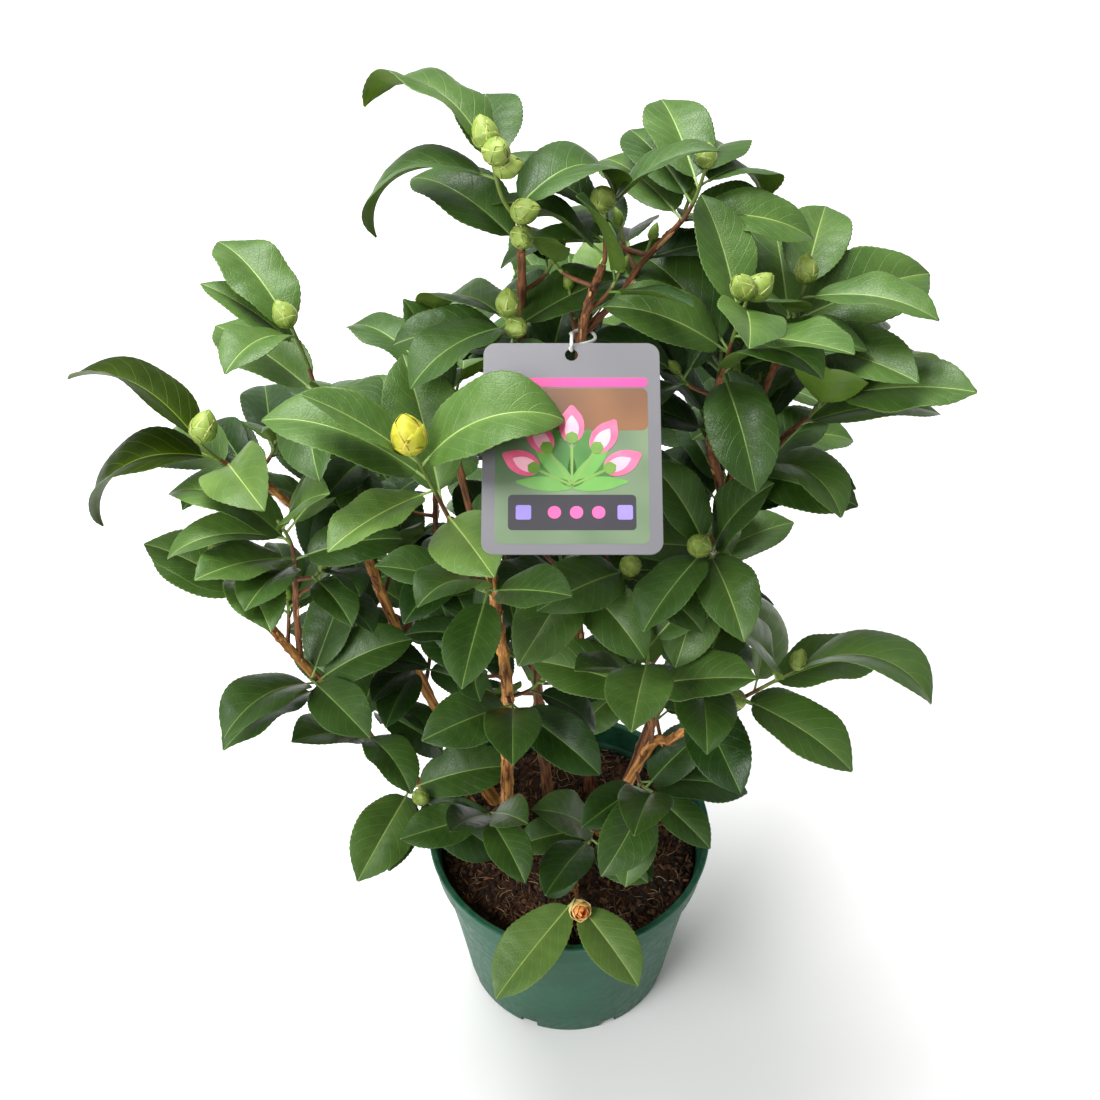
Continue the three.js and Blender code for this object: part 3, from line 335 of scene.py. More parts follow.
def leaf_choices(draw, points, share, turn, size):
    at = root_on(points, share)
    way = along(points, share)[1]
    choices = []
    for _ in range(LEAF_TRIES):
        radial = across_of(way, turn + draw(*LEAF_STRAY))
        spread = math.radians(draw(*LEAF_SPREAD) * (1.15 - 0.4 * share))
        out = way * math.cos(spread) + radial * math.sin(spread)
        out[2] *= 0.75
        choices.append({"at": at, "out": unit(out), "lean": UP - 0.3 * radial,
                        "length": size * draw(*LEAF_LENGTH), "droop": draw(*LEAF_DROOP),
                        "roll": draw(*LEAF_ROLL)})
    return choices


def first_grown(corners, choices):
    for leaf in choices:
        if stands_at(corners, midrib(leaf, SOLID_BLADE_STEPS)[1][-1]):
            return leaf
    return None


def grow_posed(shoot, corners):
    leaves = []
    for share, bearing, rise, length, droop, roll in shoot["posed"]:
        at = root_on(shoot["points"], share)
        choices = [{"at": at, "out": heading_of(bearing + turn, rise + lift), "lean": UP,
                    "length": length, "droop": droop, "roll": roll} for turn, lift in POSED_SHIFTS]
        leaves.append(first_grown(corners, choices))
    return leaves


def grow_drawn(shoot, corners, twigs, buds):
    draw = seeded(shoot["seed"])
    first = shoot["first"]
    count = shoot["count"] - len(shoot["posed"])
    leaves = []
    for k in range(count):
        share = first + (LAST_LEAF - first) * (k + 0.5) / count
        turn = shoot["turn"] + GOLDEN_ANGLE * k
        choices = leaf_choices(draw, shoot["points"], share, turn, shoot["size"])
        if k not in shoot["bare"]:
            leaves.append(first_grown(corners, choices))
    for s in range(shoot["sprays"]):
        share = 0.5 + 0.4 * s / shoot["sprays"]
        at = root_on(shoot["points"], share)
        way = along(shoot["points"], share)[1]
        radial = across_of(way, shoot["turn"] + 60 + GOLDEN_ANGLE * s)
        out = unit(0.7 * way + 0.7 * radial + 0.15 * UP)
        length = draw(*SPRAY_LENGTH)
        rise = unit(out + 0.35 * UP)
        side = [at, at + out * length / 2, at + rise * length]
        sets = [leaf_choices(draw, side, 0.45 + 0.5 * k / (SPRAY_LEAVES - 1),
                             shoot["turn"] + GOLDEN_ANGLE * k, shoot["size"] * 0.9)
                for k in range(SPRAY_LEAVES)]
        tip = side[2] + rise * BUD_LENGTH * 0.6
        if stands_at(corners, tip):
            twigs.append({"points": side, "radius": TWIG_RADIUS - 0.2, "end": TWIG_END_RADIUS})
            buds.append({"kind": "leaf", "at": side[2], "out": rise, "length": BUD_LENGTH * 0.6,
                         "radius": BUD_RADIUS * 0.4})
            leaves.extend(first_grown(corners, choices) for choices in sets)
    return leaves


def grow_shoot(shoot):
    """The twigs, leaves and buds of one shoot, at the places where its solid has them."""
    at, way = along_limb(*shoot["base"])
    points = [at + way * 0.3, at + way * 4] if shoot["base"][1] == 1 else [at]
    shoot["points"] = points + rows_of(shoot["through"])
    corners = corners_of(shoot["name"])
    twigs = [{"points": shoot["points"], "radius": TWIG_RADIUS, "end": TWIG_END_RADIUS}]
    leaves = grow_posed(shoot, corners)
    buds = []
    for share, bearing, rise, size in shoot["buds"]:
        bud = {"kind": "flower", "at": root_on(shoot["points"], share), "out": heading_of(bearing, rise),
               "length": BUD_LENGTH * size, "radius": BUD_RADIUS * size}
        if stands_at(corners, bud["at"] + bud["out"] * bud["length"]):
            buds.append(bud)
    leaves += grow_drawn(shoot, corners, twigs, buds)
    return {"twigs": twigs, "leaves": [leaf for leaf in leaves if leaf is not None], "buds": buds}


GROWTH = {shoot["name"]: grow_shoot(shoot) for shoot in SHOOTS}


# Meshes from arrays
class Heap:
    """Many small closed tubes joined in one mesh, each face with its own finish."""

    def __init__(self):
        self.places = []
        self.faces = []
        self.finishes = []
        self.flat = []
        self.count = 0

    def add(self, rings, finish, patch=None):
        """Rings of points that run round, wound to face outwards, with both ends closed.

        finish is one number for all faces or one for each face, and patch is each point's place on
        the surface's own flat map."""
        rows, around = rings.shape[:2]
        row = np.arange(rows - 1)[:, None] * around + self.count
        near = np.arange(around)[None, :]
        far = (near + 1) % around
        quads = np.stack([row + near, row + far, row + around + far, row + around + near], axis=-1)
        self.faces += quads.reshape(-1, 4).tolist()
        last = self.count + (rows - 1) * around
        self.faces.append(list(range(self.count + around - 1, self.count - 1, -1)))
        self.faces.append(list(range(last, last + around)))
        finishes = np.broadcast_to(finish, (rows - 1, around))
        self.finishes += finishes.reshape(-1).tolist() + [int(finishes[0, 0]), int(finishes[-1, 0])]
        self.places.append(rings.reshape(-1, 3))
        self.flat.append(np.zeros((rows * around, 2)) if patch is None else patch.reshape(-1, 2))
        self.count += rows * around

    def piece(self, name, materials):
        """The mesh object, with its materials and its own map."""
        mesh = bpy.data.meshes.new(name)
        mesh.from_pydata((np.concatenate(self.places) * METRE).tolist(), [], self.faces)
        for material in materials:
            mesh.materials.append(material)
        mesh.polygons.foreach_set("material_index", self.finishes)
        mesh.polygons.foreach_set("use_smooth", [True] * len(self.faces))
        corners = np.empty(len(mesh.loops), dtype=np.int64)
        mesh.loops.foreach_get("vertex_index", corners)
        layer = mesh.uv_layers.new(name="own_map")
        layer.data.foreach_set("uv", np.concatenate(self.flat)[corners].ravel())
        mesh.validate()
        mesh.update()
        made = bpy.data.objects.new(name, mesh)
        bpy.context.scene.collection.objects.link(made)
        return made


def frames_on(points, shares):
    """Places, headings and two crossing ways at shares of a curve, carried on without twist."""
    places, sides, others = [], [], []
    side = None
    for share in shares:
        at, way = along(points, share)
        if side is None:
            side = unit(np.cross([0, 1, 0] if abs(way[1]) < 0.9 else [1, 0, 0], way))
        side = unit(side - way * np.dot(side, way))
        places.append(at)
        sides.append(side)
        others.append(np.cross(way, side))
    return np.array(places), np.array(sides), np.array(others)


def run_length(points, steps=40):
    places = np.array([along(points, k / steps)[0] for k in range(steps + 1)])
    return float(np.sum(np.linalg.norm(np.diff(places, axis=0), axis=1)))


def tube_rings(points, shares, radii, sides):
    """Rings round a curve. radii is one row of numbers for each ring, or one number."""
    places, side, other = frames_on(points, shares)
    turn = 2 * np.pi * np.arange(sides) / sides
    radii = np.asarray(radii, dtype=float)
    if radii.ndim == 1:
        radii = radii[:, None]
    return (places[:, None] + side[:, None] * (radii * np.cos(turn))[..., None]
            + other[:, None] * (radii * np.sin(turn))[..., None])


# Leaves
LEAF_STEPS = 40
TEETH_DEPTH = 0.32
SIDE_VEINS = 7
VEIN_SLANT = 0.3
QUILT = 0.003
BLADE_THICKNESS = 0.55
RIB_HALF_WIDTH = 0.46
RIB_GROOVE = 0.22
WAVES = (1.2, 2.2)
WAVE_RISE = (0.01, 0.034)
CURL = (0.1, 0.5)
STALK_RINGS = [(0, 1.15), (0.3, 0.95), (0.75, 0.85)]
TOP_COLUMNS = np.array([-1, -0.955, -0.66, -0.33, 0, 0, 0, 0.33, 0.66, 0.955, 1])
RIB_COLUMNS = np.array([0, 0, 0, 0, -1, 0, 1, 0, 0, 0, 0])
UNDER_COLUMNS = np.array([0.955, 0.66, 0.33, 0, -0.33, -0.66, -0.955])
STALK_TURNS = np.linspace(np.pi, 0, 11)
STALK_UNDER_TURNS = -np.linspace(0, np.pi, 9)[1:-1]


def blade_width(share):
    """The leaf's half width at a share of its length, as a share of its widest."""
    base = np.sqrt(1 - (1 - share) ** 2.2)
    shoulder = (1 - share ** 3.2) ** 0.75
    return 1.25 * base * shoulder * (1 - 0.45 * share ** 10)


def leaf_rings(leaf, chance):
    """Rings of a leaf from its root on the twig to its tip, and each point's place on the flat map."""
    length = leaf["length"]
    side, places, normals = midrib(leaf, LEAF_STEPS)
    share = np.arange(LEAF_STEPS + 1) / LEAF_STEPS
    half = BLADE_HALF_WIDTH * length * blade_width(np.clip(share, 0.001, 0.992))
    rib = np.minimum(RIB_HALF_WIDTH * (1 - 0.8 * share) + 0.05, 0.35 * half)
    fold = math.tan(math.radians(BLADE_FOLD))
    wave_turns = chance.uniform(*WAVES, 2)
    wave_starts = chance.uniform(0, 2 * np.pi, 2)
    wave_rise = chance.uniform(*WAVE_RISE) * length
    curl = chance.uniform(*CURL)
    teeth = np.where(np.arange(LEAF_STEPS + 1) % 2 == 1, TEETH_DEPTH, -TEETH_DEPTH / 2)
    teeth = teeth * np.minimum(1, half / 5)

    def height(across):
        """The blade's top over the midrib's place, where across runs from -1 to 1."""
        away = np.abs(across)
        rise = fold * half[:, None] * (1.35 * away - (0.35 + curl) * away ** 2.6 + curl * 0.35 * away)
        turns = np.where(across < 0, wave_turns[0], wave_turns[1])
        starts = np.where(across < 0, wave_starts[0], wave_starts[1])
        wave = np.sin(2 * np.pi * turns * share[:, None] + starts) * wave_rise * away ** 2
        fade = (share * (1 - share) * 4)[:, None]
        phase = (share[:, None] - VEIN_SLANT * away ** 1.2) * (SIDE_VEINS + 1)
        quilt = -np.cos(2 * np.pi * phase) * QUILT * length * away * (1 - away) * 4
        return rise + (wave + quilt) * fade

    top = TOP_COLUMNS[None, :] + RIB_COLUMNS[None, :] * (rib / half)[:, None]
    under = np.broadcast_to(UNDER_COLUMNS, (LEAF_STEPS + 1, len(UNDER_COLUMNS)))
    thick = BLADE_THICKNESS * (0.35 + 0.65 * (1 - np.abs(under)))
    thick[:, 3] += 0.9 * (1 - share) ** 0.7
    groove = np.zeros(top.shape)
    groove[:, 5] = -RIB_GROOVE * (1 - share)
    across = np.concatenate([top, under], axis=1)
    up = np.concatenate([height(top) + groove, height(under) - thick], axis=1)
    over = across * half[:, None] + np.sign(across) * teeth[:, None] * (np.abs(across) > 0.9)
    rings = places[:, None] + side * over[..., None] + normals[:, None] * up[..., None]
    turns = np.concatenate([STALK_TURNS, STALK_UNDER_TURNS])
    stalk = []
    for reach, size in STALK_RINGS:
        size = size * PETIOLE_RADIUS
        middle = leaf["at"] + leaf["out"] * PETIOLE * reach
        stalk.append(middle + side * (np.cos(turns) * size)[:, None]
                     + normals[0] * (np.sin(turns) * size)[:, None])
    patch = np.stack([np.broadcast_to(share[:, None], across.shape), (across + 1) / 2], axis=-1)
    stalk_patch = np.broadcast_to(patch[0], (len(STALK_RINGS),) + patch[0].shape)
    return np.concatenate([np.array(stalk), rings]), np.concatenate([stalk_patch, patch])


def leaf_finishes(tint):
    """Each face's finish: top, midrib, underside and stalk of the leaf's tint."""
    top = 3 * tint
    faces = np.full((LEAF_STEPS + len(STALK_RINGS), len(TOP_COLUMNS) + len(UNDER_COLUMNS)), top)
    faces[:, 4:6] = top + 2
    faces[:, len(TOP_COLUMNS) - 1:] = top + 1
    faces[:len(STALK_RINGS), :] = top + 2
    return faces


# Buds
SCALE_STEPS = 7
SCALE_ACROSS = np.array([-1, -0.92, -0.5, 0, 0.5, 0.92, 1])
SCALE_UNDER = np.array([0.7, 0, -0.7])
SCALE_THICKNESS = 0.3
CORE_GIRTH = 0.965
CORE_REACH = 0.97


def bud_girth(share):
    """The bud's girth at a share of its length, as a share of its radius."""
    share = np.clip(share, 0.02, 0.985)
    return np.sin(np.pi * share ** 0.82) ** 0.6 * (1.16 - 0.24 * share ** 3)


def bud_core(bud, rows=9, around=12):
    share = np.linspace(0.0, 1.0, rows)
    turn = 2 * np.pi * np.arange(around) / around
    e = across_of(bud["out"], 0)
    f = np.cross(bud["out"], e)
    round_way = np.cos(turn)[:, None] * e + np.sin(turn)[:, None] * f
    girth = bud["radius"] * bud_girth(share) * CORE_GIRTH
    middle = bud["at"] + share[:, None] * bud["length"] * CORE_REACH * bud["out"]
    return middle[:, None] + girth[:, None, None] * round_way[None]


def scale_rings(bud, low, high, turn, width, lift, parting=0.0):
    """One scale that hugs the bud from the share low to the share high of its length, or parts from it."""
    share = np.linspace(low, high, SCALE_STEPS)
    reach = np.linspace(0, 1, SCALE_STEPS)
    spread = math.radians(width) * np.sqrt(np.clip(1 - reach ** 2.6, 0.004, 1))
    across = np.concatenate([SCALE_ACROSS, SCALE_UNDER])
    under = np.concatenate([np.zeros(len(SCALE_ACROSS)), np.full(len(SCALE_UNDER), SCALE_THICKNESS)])
    e = across_of(bud["out"], turn)
    f = np.cross(bud["out"], e)
    angle = spread[:, None] * across[None, :]
    parted = bud_girth(np.minimum(share, 0.45)) + 0.35 * np.maximum(0, share - 0.45)
    girth = (1 - parting) * bud_girth(share) + parting * parted
    away = bud["radius"] * girth[:, None] + lift + 0.06 * reach[:, None] - under[None, :]
    away = away + 0.05 * np.abs(across)[None, :] ** 2 * reach[:, None]
    middle = bud["at"] + share[:, None] * bud["length"] * bud["out"]
    round_way = np.cos(angle)[..., None] * e + np.sin(angle)[..., None] * f
    return middle[:, None] + np.maximum(away, 0.15)[..., None] * round_way


def scale_finishes(body):
    """Each face's finish: the scale's body, and its pale edge at the sides and the tip."""
    faces = np.full((SCALE_STEPS - 1, len(SCALE_ACROSS) + len(SCALE_UNDER)), body)
    edge = body + 1
    faces[1:, 0] = edge
    faces[1:, 5] = edge
    return faces


# A bud's scales from the innermost out: where each begins and ends on the bud's length, how far it reaches
# round the bud to either side in degrees, and how far it stands off the bud
FLOWER_SCALES = [(0.3, 0.99, 76, 0.0), (0.2, 0.985, 80, 0.05), (0.12, 0.96, 82, 0.1),
                 (0.08, 0.86, 84, 0.15), (0.05, 0.7, 86, 0.2), (0.03, 0.52, 88, 0.25),
                 (0.01, 0.37, 92, 0.3), (0.0, 0.24, 96, 0.35)]
LEAF_BUD_SCALES = [(0.05, 1.03, 70, 0.0), (0.03, 0.8, 76, 0.15), (0.0, 0.5, 80, 0.3), (0.0, 0.26, 84, 0.45)]
OPENING_PETALS = 14
INNER_PETALS = 6


def add_scales(heap, bud, scales, start, finish, openness=1.0):
    for k, (low, high, width, lift) in enumerate(scales):
        heap.add(scale_rings(bud, low, high, start + GOLDEN_ANGLE * k, width, lift * openness),
                 scale_finishes(finish))


def add_flower_bud(heap, bud, finish, openness):
    heap.add(bud_core(bud), finish)
    add_scales(heap, bud, FLOWER_SCALES, 37 * bud["length"], finish, openness)


def add_opening_bud(heap, bud):
    """A flower bud whose petals have begun to part round a darker heart."""
    heap.add(bud_core(dict(bud, radius=bud["radius"] * 0.4, length=bud["length"] * 0.72)), BUD_HEART)
    for k in range(OPENING_PETALS):
        place = k / (OPENING_PETALS - 1)
        ring = dict(bud, radius=bud["radius"] * (0.5 + 0.55 * place))
        petal = scale_rings(ring, 0.02, 0.95 - 0.34 * place, GOLDEN_ANGLE * k, 74, 0.0, 0.15 + 0.8 * place)
        heap.add(petal, scale_finishes(BUD_HEART if k < INNER_PETALS else ROSY_BUD))


def add_leaf_bud(heap, bud):
    heap.add(bud_core(bud, 7, 8), LEAF_BUD)
    add_scales(heap, bud, LEAF_BUD_SCALES, 53 * bud["length"], LEAF_BUD)


# Stems, boughs and twigs
STEM_STEP = 2.6
STEM_SIDES = 22
STEM_TURNS = 2 * np.pi * np.arange(STEM_SIDES) / STEM_SIDES
FOOT_FLARE = 0.5
FLARE_REACH = 0.1
BARK_STRIPS = 0.32
BARK_FINE = 0.15
OLD_LEAF_SWELLING = 0.28
OLD_LEAF_GAP = 27
TWIG_STEP = 3.2
TWIG_NODE_GAP = 9.5


def limb_radius(row, share):
    flare = 0 if row["base"] else FOOT_FLARE
    taper = row["radius"] + (row["end"] - row["radius"]) * share
    return taper * (1 + flare * np.maximum(0, 1 - share / FLARE_REACH) ** 2)


def bark_rings(row, seed):
    """Rings of a stem or bough with ridges, peeling strips and the swellings where leaves once stood."""
    points = curves[row["name"]]
    run = run_length(points)
    count = max(8, int(run / STEM_STEP))
    share = np.linspace(0, 1, count + 1)
    radius = limb_radius(row, share)
    relief = np.empty((count + 1, STEM_SIDES))
    for r in range(count + 1):
        height = share[r] * run
        for k, turn in enumerate(STEM_TURNS):
            x = math.cos(turn) * 1.7 + seed * 9.1
            y = math.sin(turn) * 1.7
            strip = noise.noise(Vector((x * 1.9, y * 1.9, height * 0.05)))
            fine = noise.noise(Vector((x * 3.1, y * 3.1, height * 0.16 + 40)))
            relief[r, k] = BARK_STRIPS * max(-0.4, min(0.5, strip * 1.9)) + BARK_FINE * fine
    swelling = OLD_LEAF_SWELLING * np.maximum(0, np.cos(2 * np.pi * share * run / OLD_LEAF_GAP + seed)) ** 14
    size = radius * (1 + swelling)
    sizes = size[:, None] + relief * np.minimum(1.2, radius / 2.6)[:, None]
    return tube_rings(points, share, sizes, STEM_SIDES), share, run


def twig_rings(twig, sides=8):
    points = twig["points"]
    run = run_length(points)
    count = max(4, int(run / TWIG_STEP))
    share = np.linspace(0, 1, count + 1)
    radius = twig["radius"] + (twig["end"] - twig["radius"]) * share
    radius = radius * (1 + 0.16 * np.maximum(0, np.cos(2 * np.pi * share * run / TWIG_NODE_GAP)) ** 6)
    return tube_rings(points, share, radius, sides), share


# Finer growth that fills the crown's inside: the limb and the share of its way where the twig leaves it,
# the twig's bearing, rise and length, its leaf count, its leaf size and the turn of its first leaf
FINE_TWIGS = [
    ("bough_top_right", 0.75, 150, 0, 26, 4, 0.75, 20),
    ("bough_top_right", 0.9, 60, 0, 24, 4, 0.7, 80),
    ("bough_top_right", 0.5, 60, 10, 24, 4, 0.75, 50),
    ("stem_centre", 0.94, 50, 0, 28, 4, 0.75, 0),
    ("stem_centre", 0.88, 190, 10, 24, 3, 0.75, 40),
    ("stem_centre", 0.72, 120, 25, 28, 4, 0.75, 10),
    ("stem_centre", 0.5, 200, 20, 26, 4, 0.7, 70),
    ("stem_centre", 0.36, 215, 10, 20, 3, 0.65, 30),
    ("stem_centre", 0.28, 180, 0, 18, 4, 0.6, 90),
    ("stem_back", 0.9, 150, 5, 28, 4, 0.75, 60),
    ("stem_back", 0.8, 40, 20, 26, 4, 0.7, 0),
    ("stem_back", 0.62, 130, 20, 30, 4, 0.75, 90),
    ("stem_back", 0.4, 20, 10, 26, 4, 0.7, 20),
    ("stem_back", 0.26, 170, 10, 20, 4, 0.6, 0),
    ("stem_mid_left", 0.88, 60, 5, 24, 4, 0.7, 0),
    ("stem_mid_left", 0.35, 190, 5, 20, 4, 0.65, 45),
    ("stem_mid_left", 0.5, 110, 30, 28, 4, 0.7, 0),
    ("stem_left", 0.5, 20, 10, 22, 4, 0.65, 30),
    ("stem_left", 0.36, 60, 0, 20, 4, 0.6, 0),
    ("stem_left", 0.72, 90, 30, 26, 4, 0.7, 60),
    ("bough_left_upper", 0.55, 20, 25, 22, 3, 0.7, 10),
    ("bough_left_upper", 0.8, 350, 20, 18, 3, 0.6, 0),
    ("bough_left_top", 0.5, 320, 30, 26, 4, 0.75, 20),
    ("bough_left_top", 0.7, 350, 5, 26, 4, 0.7, 70),
    ("stem_front_left", 0.5, 150, 10, 22, 4, 0.6, 0),
    ("stem_front_left", 0.72, 165, 20, 26, 4, 0.65, 50),
    ("stem_right", 0.85, 170, 20, 24, 4, 0.7, 20),
    ("stem_right", 0.6, 100, 30, 28, 4, 0.75, 60),
    ("stem_right", 0.32, 200, 10, 24, 4, 0.65, 40),
    ("bough_right", 0.55, 110, 30, 24, 4, 0.7, 0),
    ("bough_back_right", 0.5, 130, 20, 28, 4, 0.75, 30),
    ("bough_back_low_right", 0.6, 60, 10, 28, 4, 0.75, 30),
    ("bough_back_left", 0.4, 150, 20, 28, 4, 0.75, 10),
    ("bough_back_left", 0.75, 200, 30, 26, 4, 0.7, 10),
    ("bough_back", 0.6, 60, 30, 28, 4, 0.75, 40),
    ("bough_back_low_left", 0.6, 120, 5, 28, 4, 0.75, 70),
    ("stem_low_right", 0.5, 100, 15, 22, 4, 0.65, 0),
    ("stem_back", 0.5, 80, 15, 32, 4, 0.75, 45),
    ("stem_back", 0.72, 100, 10, 34, 4, 0.75, 15),
    ("stem_right", 0.72, 60, 20, 30, 4, 0.75, 0),
    ("stem_right", 0.5, 30, 15, 30, 4, 0.75, 75),
    ("stem_mid_left", 0.66, 120, 15, 30, 4, 0.75, 30),
    ("stem_mid_left", 0.8, 150, 10, 26, 4, 0.7, 60),
    ("stem_left", 0.6, 60, 10, 26, 4, 0.7, 0),
    ("bough_back_left", 0.95, 100, 25, 26, 4, 0.75, 50),
    ("bough_back_right", 0.85, 110, 25, 26, 4, 0.75, 20),
    ("bough_back", 0.9, 130, 20, 26, 4, 0.75, 0),
    ("bough_right_back", 0.5, 80, 20, 28, 4, 0.75, 40),
    ("bough_right_back", 0.8, 40, 15, 26, 4, 0.75, 10),
    ("bough_left_top", 0.4, 90, 20, 26, 4, 0.7, 10),
    ("bough_back_low_left", 0.95, 80, 20, 24, 4, 0.75, 0),
    ("bough_back_low_right", 0.9, 30, 20, 24, 4, 0.75, 0),
    ("stem_centre", 0.97, 20, 5, 26, 4, 0.7, 30),
    ("bough_top_right", 0.62, 110, 10, 26, 4, 0.75, 60),
    ("stem_front_left", 0.44, 190, 5, 22, 3, 0.65, 20),
    ("stem_front_left", 0.38, 20, 5, 22, 3, 0.65, 60),
    ("stem_mid_left", 0.3, 300, 10, 20, 3, 0.65, 0),
    ("stem_back", 0.46, 60, 10, 34, 4, 0.8, 0),
    ("stem_back", 0.34, 110, 5, 32, 4, 0.75, 50),
    ("stem_back", 0.58, 100, 0, 34, 4, 0.8, 80),
    ("stem_right", 0.42, 80, 10, 32, 4, 0.8, 20),
    ("stem_right", 0.8, 80, 10, 32, 4, 0.75, 40),
    ("stem_mid_left", 0.42, 80, 10, 32, 4, 0.8, 0),
    ("stem_mid_left", 0.57, 80, 5, 34, 4, 0.8, 70),
    ("stem_left", 0.44, 100, 5, 30, 4, 0.75, 20),
    ("stem_centre", 0.62, 90, 5, 34, 4, 0.8, 10),
    ("stem_centre", 0.8, 100, 5, 34, 4, 0.8, 50),
    ("bough_back_low_left", 0.3, 90, 10, 26, 4, 0.75, 30),
    ("bough_back", 0.3, 100, 5, 30, 4, 0.8, 0),
]
FINE_SEED = 200
FINE_TWIG_RADIUS = 1.25
FINE_LEAF_ROOM = 4.2
FINE_LIMB_ROOM = 3.0
CROWN_ROOM = 4
NEAR_BLADES = 100
LIMB_CHECKS = 60
TWIG_CHECKS = 8
BLADE_CHECKS = 8
BLADE_ROW = np.array([-0.95, -0.5, 0, 0.5, 0.95])
BLADE_MIDDLE = BLADE_CHECKS // 2 * len(BLADE_ROW) + len(BLADE_ROW) // 2

# The label's place, slope and size, and the room that is kept free round it
TAG_TOP = (-3, -55, 627)
TAG_SLOPE = 24
TAG_WIDTH = 82
TAG_LENGTH = 104
TAG_ROOM_FRONT = 60
TAG_ROOM_BEHIND = 7
TAG_ROOM_SIDE = 5
TAG_ROOM_END = 6
tag_turn = math.radians(TAG_SLOPE)
tag_face = np.array([0, -math.sin(tag_turn), math.cos(tag_turn)])
tag_down = np.array([0, -math.cos(tag_turn), -math.sin(tag_turn)])


def blade_points(leaf):
    """Places spread over a blade in rows across it, for keeping leaves apart."""
    side, places, _ = midrib(leaf, BLADE_CHECKS)
    share = np.arange(BLADE_CHECKS + 1) / BLADE_CHECKS
    half = BLADE_HALF_WIDTH * leaf["length"] * blade_width(np.clip(share, 0.02, 0.98))
    return (places[:, None] + side * (BLADE_ROW * half[:, None])[..., None]).reshape(-1, 3)


def in_label_room(points):
    away = points - np.array(TAG_TOP)
    down = away @ tag_down
    front = away @ tag_face
    return np.any((np.abs(away[:, 0]) < TAG_WIDTH / 2 + TAG_ROOM_SIDE)
                  & (down > -TAG_ROOM_END) & (down < TAG_LENGTH + TAG_ROOM_END)
                  & (front > -TAG_ROOM_BEHIND) & (front < TAG_ROOM_FRONT))


def too_near(points, others, room):
    gaps = np.sum((points[:, None] - others[None]) ** 2, axis=2)
    return np.min(gaps) < room ** 2


limb_checks = [(row, k / LIMB_CHECKS) for row in LIMBS for k in range(LIMB_CHECKS + 1)]
limb_points = np.array([along_limb(row["name"], share)[0] for row, share in limb_checks])
limb_sizes = np.array([float(limb_radius(row, share)) for row, share in limb_checks])
taken = [blade_points(leaf) for growth in GROWTH.values() for leaf in growth["leaves"]]
twig_points = np.array([along(twig["points"], k / TWIG_CHECKS)[0] for growth in GROWTH.values()
                        for twig in growth["twigs"] for k in range(TWIG_CHECKS + 1)])
crown_low = np.array(cad_low) / METRE + CROWN_ROOM
crown_high = np.array(cad_high) / METRE - CROWN_ROOM


def has_room(leaf):
    points = blade_points(leaf)
    if np.any(points < crown_low) or np.any(points > crown_high) or in_label_room(points):
        return False
    gaps = np.sqrt(np.sum((points[:, None] - limb_points[None]) ** 2, axis=2)) - limb_sizes
    if np.min(gaps) < FINE_LIMB_ROOM or too_near(points[len(BLADE_ROW):], twig_points, FINE_LIMB_ROOM):
        return False
    middle = points[BLADE_MIDDLE]
    near = [other for other in taken if np.sum((other[BLADE_MIDDLE] - middle) ** 2) < NEAR_BLADES ** 2]
    return not near or not too_near(points, np.concatenate(near), FINE_LEAF_ROOM)


def grow_fine_twig(row, seed):
    """A short twig with small leaves, each at the first of its places that has room."""
    base, share, bearing, rise, length, count, size, turn = row
    draw = seeded(seed)
    at = along_limb(base, share)[0]
    way = heading_of(bearing, rise)
    points = [at, at + way * length * 0.6, at + unit(way + 0.3 * UP) * length]
    leaves = []
    for k in range(count):
        part = 0.45 + 0.52 * (k + 0.5) / count
        choices = leaf_choices(draw, points, part, turn + GOLDEN_ANGLE * k, size)
        choices += leaf_choices(draw, points, part, turn + 60 + GOLDEN_ANGLE * k, size * 0.85)
        leaf = next((choice for choice in choices if has_room(choice)), None)
        if leaf is not None:
            leaves.append(leaf)
            taken.append(blade_points(leaf))
    tip = unit(points[2] - points[1])
    bud = {"kind": "leaf", "at": points[2], "out": tip, "length": BUD_LENGTH * 0.5,
           "radius": BUD_RADIUS * 0.36}
    twig = {"points": points, "radius": FINE_TWIG_RADIUS, "end": FINE_TWIG_RADIUS - 0.3}
    return {"twigs": [twig], "leaves": leaves, "buds": [bud]}


FINE_GROWTH = [grow_fine_twig(row, FINE_SEED + k) for k, row in enumerate(FINE_TWIGS)]
FINE_GROWTH = [growth for growth in FINE_GROWTH if growth["leaves"]]


# Colours are given as they look, from 0 to 255
def colour(levels):
    """The colour in the linear form that a shader takes."""
    linear = []
    for level in levels:
        share = level / 255
        linear.append(share / 12.92 if share <= 0.04045 else ((share + 0.055) / 1.055) ** 2.4)
    return (*linear, 1.0)


def lighter(levels, step):
    return [min(255, level + step) for level in levels]


# Node helpers
def add_node(tree, kind, values=None, **settings):
    """A node with its settings, and each input given a number or linked to an output."""
    made = tree.nodes.new(kind)
    for key, value in settings.items():
        setattr(made, key, value)
    for socket, value in (values or {}).items():
        if isinstance(value, bpy.types.NodeSocket):
            tree.links.new(value, made.inputs[socket])
        else:
            made.inputs[socket].default_value = value
    return made


def maths(tree, operation, first, second=0.0):
    return add_node(tree, "ShaderNodeMath", {0: first, 1: second}, operation=operation).outputs[0]


# A colour mix's sockets, by their number on the node
MIX_SHARE = 0
MIX_FIRST = 6
MIX_SECOND = 7
MIX_RESULT = 2


def mix_colours(tree, share, first, second):
    values = {MIX_SHARE: share, MIX_FIRST: first, MIX_SECOND: second}
    return add_node(tree, "ShaderNodeMix", values, data_type="RGBA").outputs[MIX_RESULT]


def tinted(tree, base, mask, strength, tint):
    """The base colour, with the tint laid over it where the mask is."""
    return mix_colours(tree, maths(tree, "MULTIPLY", mask, strength), base, tint)


